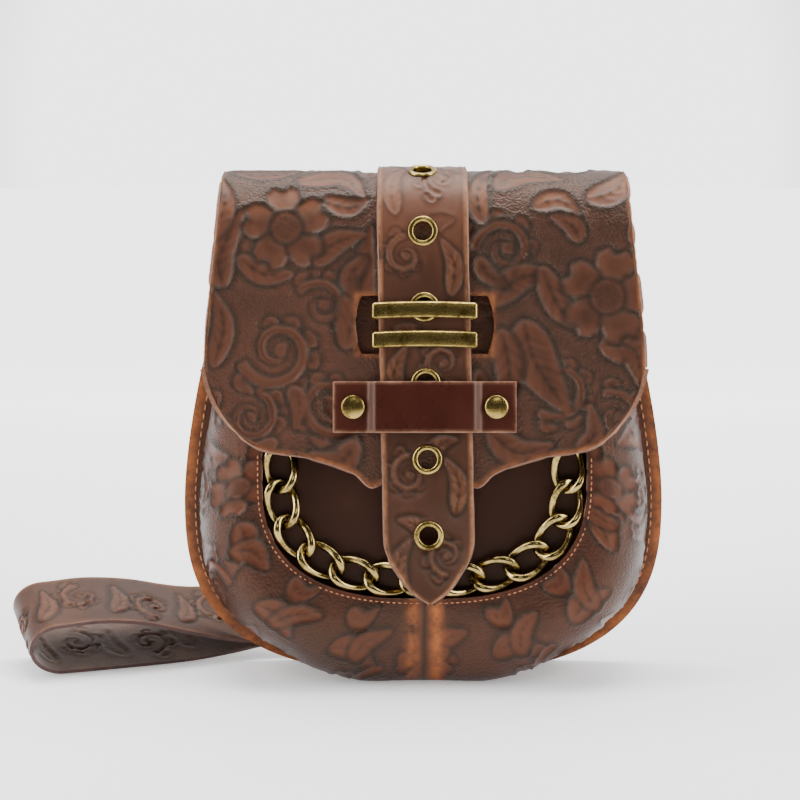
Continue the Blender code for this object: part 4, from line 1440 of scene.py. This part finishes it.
        bmesh.ops.recalc_face_normals(work, faces=work.faces)
        mesh = bpy.data.meshes.new(name)
        work.to_mesh(mesh)
        work.free()
        made = add_object(name, mesh)
        mesh.materials.append(FITTING_BRASS.make())
        bevel = made.modifiers.new("bevel", "BEVEL")
        bevel.width = 0.25 * MM
        bevel.segments = 2
        apply_modifiers(made)
        return finish_piece(made, (node,), 30)


def spun(name: str, profile: list, steps: int) -> bpy.types.Object:
    """A profile of (radius, height) pairs spun about local Z.

    Args:
        name: of the piece.
        profile: closed where it leaves the axis.
        steps: round it.

    Returns:
        The solid, with its faces outwards.
    """
    mesh = bpy.data.meshes.new(name)
    count = len(profile)
    closed = profile[0][0] > 1e-6
    edges = [(k, k + 1) for k in range(count - 1)] + ([(count - 1, 0)] if closed else [])
    mesh.from_pydata([(r, 0.0, h) for r, h in profile], edges, [])
    made = add_object(name, mesh)
    deselect()
    made.select_set(True)
    bpy.context.view_layer.objects.active = made
    bpy.ops.object.mode_set(mode="EDIT")
    bpy.ops.mesh.select_all(action="SELECT")
    bpy.ops.mesh.spin(steps=steps, angle=2 * math.pi, center=(0, 0, 0), axis=(0, 0, 1))
    bpy.ops.mesh.select_all(action="SELECT")
    bpy.ops.mesh.remove_doubles(threshold=1e-6)
    bpy.ops.mesh.normals_make_consistent(inside=False)
    bpy.ops.object.mode_set(mode="OBJECT")
    return made


def set_copies(model: bpy.types.Object, places: list, angle: float) -> list:
    """Sets copies of one turned brass fitting in their places, each with its own mesh.

    Args:
        model: what is copied, and then removed.
        places: (piece name, CAD node, matrix) of each copy.
        angle: edges sharper than this stay sharp.

    Returns:
        The dressed pieces.
    """
    made = []
    for name, node, place in places:
        mesh = model.data.copy()
        mesh.transform(place)
        mesh.materials.append(FITTING_BRASS.make())
        made.append(finish_piece(add_object(name, mesh), (node,), angle))
    bpy.data.objects.remove(model, do_unlink=True)
    return made


@dataclass
class Keeper:
    """The smooth riveted band that the strap passes under."""

    width: float = 82.0 * MM
    height: float = 23.0 * MM
    v: float = 132.6 * MM
    spread: float = 64.0 * MM
    cap: float = 10.7 * MM
    columns: int = 83
    rows: int = 24

    def build(self, strap: Strap) -> bpy.types.Object:
        """Makes the band over the strap.

        Args:
            strap: what it passes over.

        Returns:
            The dressed piece.
        """
        seat = FLAP_LIFT + LEATHER + GAP + LEATHER
        raised = strap.lift(self.v) + LEATHER + strap.proud + GAP + LEATHER / 2
        low, high = strap.width / 2 * 1.06, self.spread / 2 - self.cap / 2
        places = np.array([[face_point(x, self.v + self.height * s, raised - (raised - seat)
                                       * smooth_step(abs(x), low, high))[:]
                            for x in np.linspace(-self.width / 2, self.width / 2, self.columns)]
                           for s in np.linspace(0.5, -0.5, self.rows)])
        piece = grid_sheet("keeper_leather", places)
        across, down = np.arange(self.columns), np.arange(self.rows)
        rim = np.minimum(np.minimum(across, across[::-1])[None, :], np.minimum(down, down[::-1])[:, None])
        mark(piece, relief=0.45 + 0.0 * rim, ground=0.0 * rim, wear=np.exp(-(rim / 0.8) ** 2) * 0.8)
        face_outwards(piece, Vector((0, 0.2, 0.13)))
        wall(piece, LEATHER, -1.0, (KEEPER_LEATHER.make(), SUEDE.make(), RAW_EDGE.make()))
        bevel = piece.modifiers.new("round", "BEVEL")
        bevel.width = 0.35 * MM
        bevel.segments = 2
        bevel.angle_limit = math.radians(60)
        apply_modifiers(piece)
        return finish_piece(piece, ("keeper_band",), 50)

    def rivets(self) -> list:
        """Turns one domed cap rivet and sets it on both sides."""
        front, back = FLAP_LIFT + 2 * LEATHER + 2 * GAP, FLAP_LIFT - GAP
        cap, shank, rise = self.cap / 2, 2.0 * MM, 2.0 * MM
        profile = [(0.0, front + rise)]
        profile += [(cap * math.sin(t), front + 0.35 * rise + 0.65 * rise * math.cos(t))
                    for t in np.linspace(0.15, math.pi / 2, 10)]
        profile += [(cap, front + 0.1 * rise), (cap * 0.96, front), (shank, front), (shank, back), (0.8 * cap, back),
                    (0.8 * cap, back - 0.9 * MM), (0.0, back - 0.9 * MM)]
        lean = Matrix.Rotation(math.radians(90) - FACE_LEAN, 4, "X")
        places = [(f"cap_rivet_{name}", f"keeper_rivet_{name}",
                   Matrix.Translation(face_point(side * self.spread / 2, self.v, 0.0)) @ lean)
                  for name, side in (("left", -1), ("right", 1))]
        return set_copies(spun("rivet_model", profile, 40), places, 40)


@dataclass
class Chain:
    """The curb chain inside the window's rim."""

    count: int = 13
    pitch: float = 16.0 * MM
    half_length: float = 10.1 * MM
    half_width: float = 6.4 * MM
    twist: float = 2.5 * MM
    wire: float = 3.8 * MM
    thick: float = 3.3 * MM
    depth: float = 4.1 * MM
    round_steps: int = 56
    wire_steps: int = 14

    def route(self, body: Body) -> list:
        """Link centres a pitch apart along a U inside the rim."""
        loop = body.window(8 * MM, 60)
        bottom = min(range(len(loop)), key=lambda k: (loop[k][1], abs(loop[k][0])))
        turned = loop[bottom:] + loop[:bottom]
        right = [(0.0, turned[0][1])] + [p for p in turned[1:] if p[0] > 0 and p[1] < WINDOW_MIDDLE]
        right.append((body.window_half - 8 * MM, WINDOW_MIDDLE + 4 * self.pitch))
        places = [right[0]]
        k = 0
        while len(places) < (self.count + 1) // 2:
            x0, v0 = places[-1]
            while math.hypot(right[k + 1][0] - x0, right[k + 1][1] - v0) < self.pitch:
                k += 1
            low, high = 0.0, 1.0
            for _ in range(40):
                t = (low + high) / 2
                x = right[k][0] + (right[k + 1][0] - right[k][0]) * t
                v = right[k][1] + (right[k + 1][1] - right[k][1]) * t
                if math.hypot(x - x0, v - v0) < self.pitch:
                    low = t
                else:
                    high = t
            places.append((x, v))
        return [(-x, v) for x, v in reversed(places[1:])] + places

    def build(self, body: Body) -> list:
        """Makes the links.

        Args:
            body: whose window the chain follows.

        Returns:
            The dressed links.
        """
        route = self.route(body)
        made = []
        for k, centre in enumerate(route):
            a, b = route[max(k - 1, 0)], route[min(k + 1, len(route) - 1)]
            turn = math.atan2(b[1] - a[1], b[0] - a[0])
            deselect()
            bpy.ops.mesh.primitive_torus_add(major_segments=self.round_steps, minor_segments=self.wire_steps,
                                             major_radius=1.0, minor_radius=0.2)
            link = bpy.context.object
            link.name = f"curb_link_{k + 1:02d}"
            coords = []
            for i in range(self.round_steps):
                t = 2 * math.pi * i / self.round_steps
                for j in range(self.wire_steps):
                    s = 2 * math.pi * j / self.wire_steps
                    side = self.wire / 2 * math.cos(s)
                    along = self.half_length * math.cos(t)
                    wide = self.half_width * math.sin(t)
                    nx, ny = math.cos(t) * self.half_width, math.sin(t) * self.half_length
                    size = math.hypot(nx, ny)
                    px, py = along + side * nx / size, wide + side * ny / size
                    n = -self.depth + self.twist * math.sin(2 * t) + self.thick / 2 * math.sin(s)
                    x = centre[0] + px * math.cos(turn) - py * math.sin(turn)
                    v = centre[1] + px * math.sin(turn) + py * math.cos(turn)
                    coords.append(face_point(x, v, n)[:])
            link.data.vertices.foreach_set("co", np.array(coords, dtype=np.float32).reshape(-1))
            link.data.update()
            work = bmesh.new()
            work.from_mesh(link.data)
            bmesh.ops.recalc_face_normals(work, faces=work.faces)
            work.to_mesh(link.data)
            work.free()
            link.data.materials.append(CHAIN_BRASS.make())
            made.append(finish_piece(link, (f"chain_link_{k + 1:02d}",), 80))
        return made


@dataclass
class HangingLoop:
    """The tooled strap loop behind the bag, turned a quarter and laid on the floor."""

    width: float = 40.0 * MM
    leather: float = 1.8 * MM
    length: float = 193.0 * MM
    end_x: float = 12.0 * MM
    rise: float = 26.5 * MM

    def base(self, x: float) -> tuple:
        """Near edge place and tilt of the lower run at x."""
        table = ((0.000, 1.00, 1.00, 90.0), (0.200, 1.00, 1.00, 90.0), (0.250, 1.005, 1.00, 89.0),
                 (0.311, 1.06, 0.95, 80.0), (0.383, 1.10, 0.85, 60.0), (0.466, 1.05, 0.66, 40.0),
                 (0.539, 0.92, 0.40, 29.0), (0.632, 0.74, 0.18, 23.0), (0.788, 0.42, 0.13, 20.0),
                 (1.000, 0.0, 0.13, 20.0))
        share = (self.end_x - x) / self.length
        seat_y = BACK_Y + GAP + self.leather / 2 + self.leather + GAP
        return (seat_y - 36 * MM + 36 * MM * blend(table, share, 1), 8 * MM * blend(table, share, 2),
                math.radians(blend(table, share, 3)))

    def opening(self, x: float) -> float:
        """How far the upper run stands above the lower one at x."""
        closed = self.leather + GAP
        table = ((0.0, 0.0), (0.36, 0.0), (0.43, 0.03), (0.50, 0.16), (0.57, 0.38), (0.64, 0.61), (0.73, 0.87),
                 (0.83, 1.0), (0.92, 0.97), (1.0, 0.93))
        return closed + (self.rise - closed) * blend(table, (self.end_x - x) / self.length, 1)

    def build(self) -> bpy.types.Object:
        """Makes the loop.

        Returns:
            The dressed piece.
        """
        bend_x = self.end_x - self.length * 0.93
        lower = list(np.linspace(self.end_x, bend_x, 170))
        bend_rise = self.opening(bend_x)
        tip = self.length - (self.end_x - bend_x)
        stations = [(x, 0.0) for x in lower]
        for k in range(1, 44):
            turn = math.radians(180.0 * k / 44)
            stations.append((bend_x - tip * math.sin(turn), bend_rise * (1 - math.cos(turn)) / 2))
        stations += [(x, self.opening(x)) for x in reversed(lower)]
        shares = np.linspace(0, 1, 41)
        rows = []
        for x, rise in stations:
            near_y, near_z, tilt = self.base(x)
            yaw = 0.4 * math.cos(tilt)
            near = Vector((x, near_y - rise * math.sin(tilt), near_z + rise * math.cos(tilt)))
            wide = Vector((-yaw, math.cos(tilt), math.sin(tilt))).normalized() * self.width
            rows.append([(near + wide * float(s))[:] for s in shares])
        places = np.array(rows)
        middle = places[:, 20, :]
        along = np.concatenate([[0], np.cumsum(np.linalg.norm(np.diff(middle, axis=0), axis=1))]) / MM
        chart = Tooling((0, 0), (float(along[-1]), 40))
        for k in range(int(along[-1] // 34)):
            x = 17 + 34 * k
            hand = 1 if k % 2 else -1
            chart.scroll(x, 20 + 3 * hand, 10, 90 * hand, hand, 1.2, 5, 5)
            chart.leaf([(x + 12, 8), (x + 18, 18), (x + 17, 32)], 9, 4)
        u = np.repeat(along[:, None], 41, axis=1)
        w = np.repeat(shares[None, :] * 40, len(along), axis=0)
        height = chart.read(u, w, chart.height)
        rim = np.minimum(shares, 1 - shares)[None, :] * 40
        border = np.exp(-(rim / 1.4) ** 2) + 0 * height
        height = (height * 1.2 + 0.05) * (1 - border) - 0.3 * border
        piece = grid_sheet("hanging_loop_tooled", places)
        total = 0.0
        centre = Vector((bend_x, self.base(bend_x)[0], self.rise / 2))
        for polygon in list(piece.data.polygons)[::5]:
            total += polygon.normal.dot(Vector(polygon.center) - centre) * polygon.area
        pressed = press(places, height, 1.0)
        outwards = np.cross(np.gradient(places, axis=1), np.gradient(places, axis=0))
        aim = ((places - np.array(centre[:])) * outwards).sum()
        if aim < 0:
            pressed = press(places, height, -1.0)
        piece.data.vertices.foreach_set("co", pressed.reshape(-1).astype(np.float32))
        mark(piece, relief=crisp(height), ground=0 * height,
             wear=np.clip(border * 0.6 + 0.15 * (height > 0.15), 0, 1))
        if total < 0:
            piece.data.flip_normals()
        wall(piece, self.leather, -1.0, (STRAP_LEATHER.make(), SUEDE.make(), DARK_EDGE.make()))
        shift_to_middle(piece, places, self.leather)
        return finish_piece(piece, ("hanging_loop",), 50)


def shift_to_middle(piece: bpy.types.Object, places: np.ndarray, leather: float) -> None:
    """Moves a wall that was built inwards from its middle surface back onto it, along its own normals.

    Args:
        piece: the walled sheet, whose first points are its outer side.
        places: the middle surface.
        leather: the wall's thickness.
    """
    outwards = np.cross(np.gradient(places, axis=1), np.gradient(places, axis=0))
    outwards /= np.linalg.norm(outwards, axis=2)[:, :, None] + 1e-12
    flat = outwards.reshape(-1, 3)
    count = len(flat)
    coords = np.empty(len(piece.data.vertices) * 3, dtype=np.float32)
    piece.data.vertices.foreach_get("co", coords)
    coords = coords.reshape(-1, 3)
    side = np.sign(((coords[:count] - coords[count:2 * count]) * flat).sum(axis=1).mean())
    coords[:count] += flat * side * leather / 2
    coords[count:2 * count] += flat * side * leather / 2
    piece.data.vertices.foreach_set("co", coords.reshape(-1))
    piece.data.update()


@dataclass
class Studio:
    """A pale floor that glows, dim near the bag and bright further back, soft lights and the camera."""

    floor_drop: float = 0.2 * MM
    lens: float = 90.0
    shift: float = 0.0075
    down: float = 82.5
    eye: tuple = (-0.011, -0.912, 0.246)

    def build(self) -> None:
        """Makes the glowing floor, the lights, the sky and the camera."""
        deselect()
        bpy.ops.mesh.primitive_plane_add(size=14, location=(0, 3.0, -self.floor_drop))
        floor = bpy.context.object
        floor.name = "studio_floor"
        made = bpy.data.materials.new("glowing pale floor")
        made.use_nodes = True
        n = Nodes(made.node_tree)
        shader = made.node_tree.nodes["Principled BSDF"]
        place = n.add("ShaderNodeTexCoord").outputs["Object"]
        n.put(n.ramp(n.noise(place, 3.0), ((0.3, (0.93, 0.93, 0.93)), (0.7, (0.96, 0.96, 0.96)))),
              shader.inputs["Base Color"])
        shader.inputs["Roughness"].default_value = 0.6
        axes = n.add("ShaderNodeSeparateXYZ")
        n.put(place, axes.inputs[0])
        # painted glow: the floor emits light, dim near the bag and bright further back, so the far floor shows white
        # and the near floor softens the shadows and lights the bag from below
        away = n.math("MULTIPLY_ADD", axes.outputs["Y"], 1.1, 3.2)
        n.put(n.ramp(away, ((0.0, (0.12, 0.12, 0.12)), (0.95, (1.0, 1.0, 1.0)))), shader.inputs["Emission Color"])
        shader.inputs["Emission Strength"].default_value = 2.6
        floor.data.materials.append(made)
        for name, spot, aim, size, power in (
                ("left strip", (-0.70, -0.30, 0.50), (0, 0, 0.13), (0.30, 0.9), 8.5),
                ("right strip", (0.72, -0.28, 0.46), (0, 0, 0.12), (0.30, 0.9), 8.0),
                ("top back", (0.0, 0.10, 0.95), (0, -0.02, 0.2), (0.9, 0.5), 15.0),
                ("front fill", (0.15, -1.2, 1.0), (0, 0, 0.1), (0.5, 0.4), 2.0)):
            light = bpy.data.lights.new(name, "AREA")
            light.shape = "RECTANGLE"
            light.size, light.size_y = size
            light.energy = power
            lamp = bpy.data.objects.new(name, light)
            bpy.context.scene.collection.objects.link(lamp)
            lamp.location = spot
            lamp.rotation_euler = (Vector(aim) - Vector(spot)).to_track_quat("-Z", "Y").to_euler()
        world = bpy.data.worlds.new("studio")
        bpy.context.scene.world = world
        world.use_nodes = True
        back = world.node_tree.nodes["Background"]
        n = Nodes(world.node_tree)
        split = n.add("ShaderNodeSeparateXYZ")
        n.put(n.add("ShaderNodeTexCoord").outputs["Generated"], split.inputs[0])
        ahead = n.math("MULTIPLY_ADD", split.outputs["Y"], 0.5, 0.5)
        sky = n.ramp(ahead, ((0.32, (0.02, 0.02, 0.02)), (0.80, (1.0, 1.0, 1.0)), (0.985, (1.0, 1.0, 1.0)),
                             (0.992, (2.2, 2.2, 2.2))))
        n.put(sky, back.inputs["Color"])
        back.inputs["Strength"].default_value = 1.5
        lens = bpy.data.cameras.new("camera")
        lens.lens = self.lens
        lens.sensor_width = 36
        lens.shift_y = self.shift
        camera = bpy.data.objects.new("camera", lens)
        bpy.context.scene.collection.objects.link(camera)
        camera.location = self.eye
        camera.rotation_euler = (math.radians(self.down), 0, 0)
        bpy.context.scene.camera = camera


def dress_nodes(frame: dict) -> None:
    """Gives the CAD nodes that stay their finishes.
    """
    finishes = {"back_panel": BODY_LEATHER.make(), "front_insert": INSERT_LEATHER.make(),
                "chain_anchor_left": CHAIN_BRASS.make(), "chain_anchor_right": CHAIN_BRASS.make()}
    for name, item in finishes.items():
        node = frame["nodes"][name]
        count = len(node.data.vertices)
        mark(node, relief=np.full(count, 0.45), ground=np.zeros(count), wear=np.zeros(count))
        for slot in node.material_slots:
            slot.material = item


def main() -> None:
    """Builds and dresses the whole bag."""
    logging.basicConfig(level=logging.INFO, format="%(name)s: %(message)s")
    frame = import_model()
    Studio().build()
    strap, body = Strap(), Body()
    Flap().build()
    body.build()
    body.stitches()
    strap.build()
    strap.eyelets()
    strap.metal_loop("metal_loop_upper", "strap_loop_upper", LOOP_V + 6.5 * MM)
    strap.metal_loop("metal_loop_lower", "strap_loop_lower", LOOP_V - 6.5 * MM)
    keeper = Keeper()
    keeper.build(strap)
    keeper.rivets()
    Chain().build(body)
    HangingLoop().build()
    dress_nodes(frame)
    bpy.context.view_layer.update()


if __name__ == "__main__":
    main()
